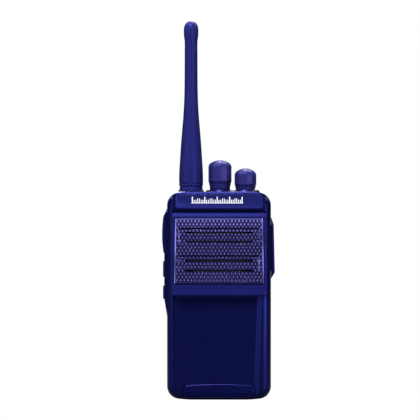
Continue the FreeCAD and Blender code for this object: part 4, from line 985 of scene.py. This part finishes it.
@dataclass
class Studio:
    """A pale floor, soft lights and the camera, in metres."""

    view_width: float = 0.231
    distance: float = 1.6
    aim: tuple = (-0.00495, -0.0080, 0.1042)
    sensor: float = 36.0

    def build(self) -> None:
        """Sets the stage, the lights, the world and the camera."""
        self.build_floor()
        self.build_world()
        self.build_lights()
        self.build_camera()

    def build_floor(self) -> None:
        """Makes the pale floor."""
        bm = bmesh.new()
        bmesh.ops.create_grid(bm, x_segments=1, y_segments=1, size=4.0)
        mesh = bpy.data.meshes.new("floor")
        bm.to_mesh(mesh)
        bm.free()
        floor = bpy.data.objects.new("floor", mesh)
        floor.location.z = -0.0002
        bpy.context.scene.collection.objects.link(floor)
        material = bpy.data.materials.new("floor_paint")
        material.use_nodes = True
        sheet = NodeSheet(material.node_tree)
        shader = material.node_tree.nodes["Principled BSDF"]
        shader.inputs["Base Color"].default_value = (0.16, 0.16, 0.18, 1.0)
        shader.inputs["Roughness"].default_value = 0.9
        shader.inputs["Specular IOR Level"].default_value = 0.0
        lit = sheet.add("Emission", {"Color": (1.0, 1.0, 1.0, 1.0), "Strength": 1.0})
        seen = sheet.add("LightPath").outputs["Is Camera Ray"]
        both = sheet.add("MixShader", {0: seen, 1: shader.outputs[0], 2: lit.outputs[0]})
        output = material.node_tree.nodes["Material Output"]
        material.node_tree.links.new(both.outputs[0], output.inputs["Surface"])
        mesh.materials.append(material)

    def build_world(self) -> None:
        """Lights the scene from a white sky."""
        world = bpy.data.worlds.new("studio_sky")
        world.use_nodes = True
        sheet = NodeSheet(world.node_tree)
        sky = world.node_tree.nodes["Background"]
        path = sheet.add("LightPath")
        seen = sheet.add("Background", {"Color": (1.0, 1.0, 1.0, 1.0), "Strength": 1.0})
        sky.inputs["Color"].default_value = (0.7, 0.75, 1.0, 1.0)
        sky.inputs["Strength"].default_value = 0.025
        both = sheet.add("MixShader", {0: path.outputs["Is Camera Ray"], 1: sky.outputs[0],
                                       2: seen.outputs[0]})
        world.node_tree.links.new(both.outputs[0], world.node_tree.nodes["World Output"].inputs["Surface"])
        bpy.context.scene.world = world
        bpy.context.scene.view_settings.view_transform = "Standard"

    def build_lights(self) -> None:
        """Hangs the lamps round the radio, each turned towards it."""
        for lamp in LAMPS:
            data = bpy.data.lights.new(lamp.name, "AREA")
            data.shape, data.size, data.size_y = "RECTANGLE", lamp.width, lamp.height
            data.energy = lamp.power
            turn, rise = math.radians(lamp.azimuth), math.radians(lamp.elevation)
            away = Vector((math.sin(turn) * math.cos(rise), -math.cos(turn) * math.cos(rise), math.sin(rise)))
            hung = bpy.data.objects.new(lamp.name, data)
            hung.location = Vector(self.aim) + away * lamp.distance
            hung.rotation_euler = (-away).to_track_quat("-Z", "Y").to_euler()
            bpy.context.scene.collection.objects.link(hung)

    def build_camera(self) -> None:
        """Places the camera square on to the front."""
        data = bpy.data.cameras.new("camera")
        data.sensor_width = self.sensor
        data.lens = self.sensor * self.distance / self.view_width
        camera = bpy.data.objects.new("camera", data)
        camera.location = (self.aim[0], self.aim[1] - self.distance, self.aim[2])
        camera.rotation_euler = (math.radians(90), 0.0, 0.0)
        bpy.context.scene.collection.objects.link(camera)
        bpy.context.scene.camera = camera


def main() -> None:
    """Builds every sub-assembly in order."""
    logging.basicConfig(level=logging.INFO, format="%(name)s: %(message)s")
    PAINT.dress_frame()
    Mouldings().build()
    SpeakerGrille().build()
    NamePlate().build()
    Knob("channel_grip", "channel_knob", "channel_rotor", 5.6, 6.7, 119.3).build()
    Knob("volume_grip", "volume_knob", "volume_rotor", 5.2, 6.3, 117.6).build()
    Whip().build()
    Studio().build()


if __name__ == "__main__":
    main()
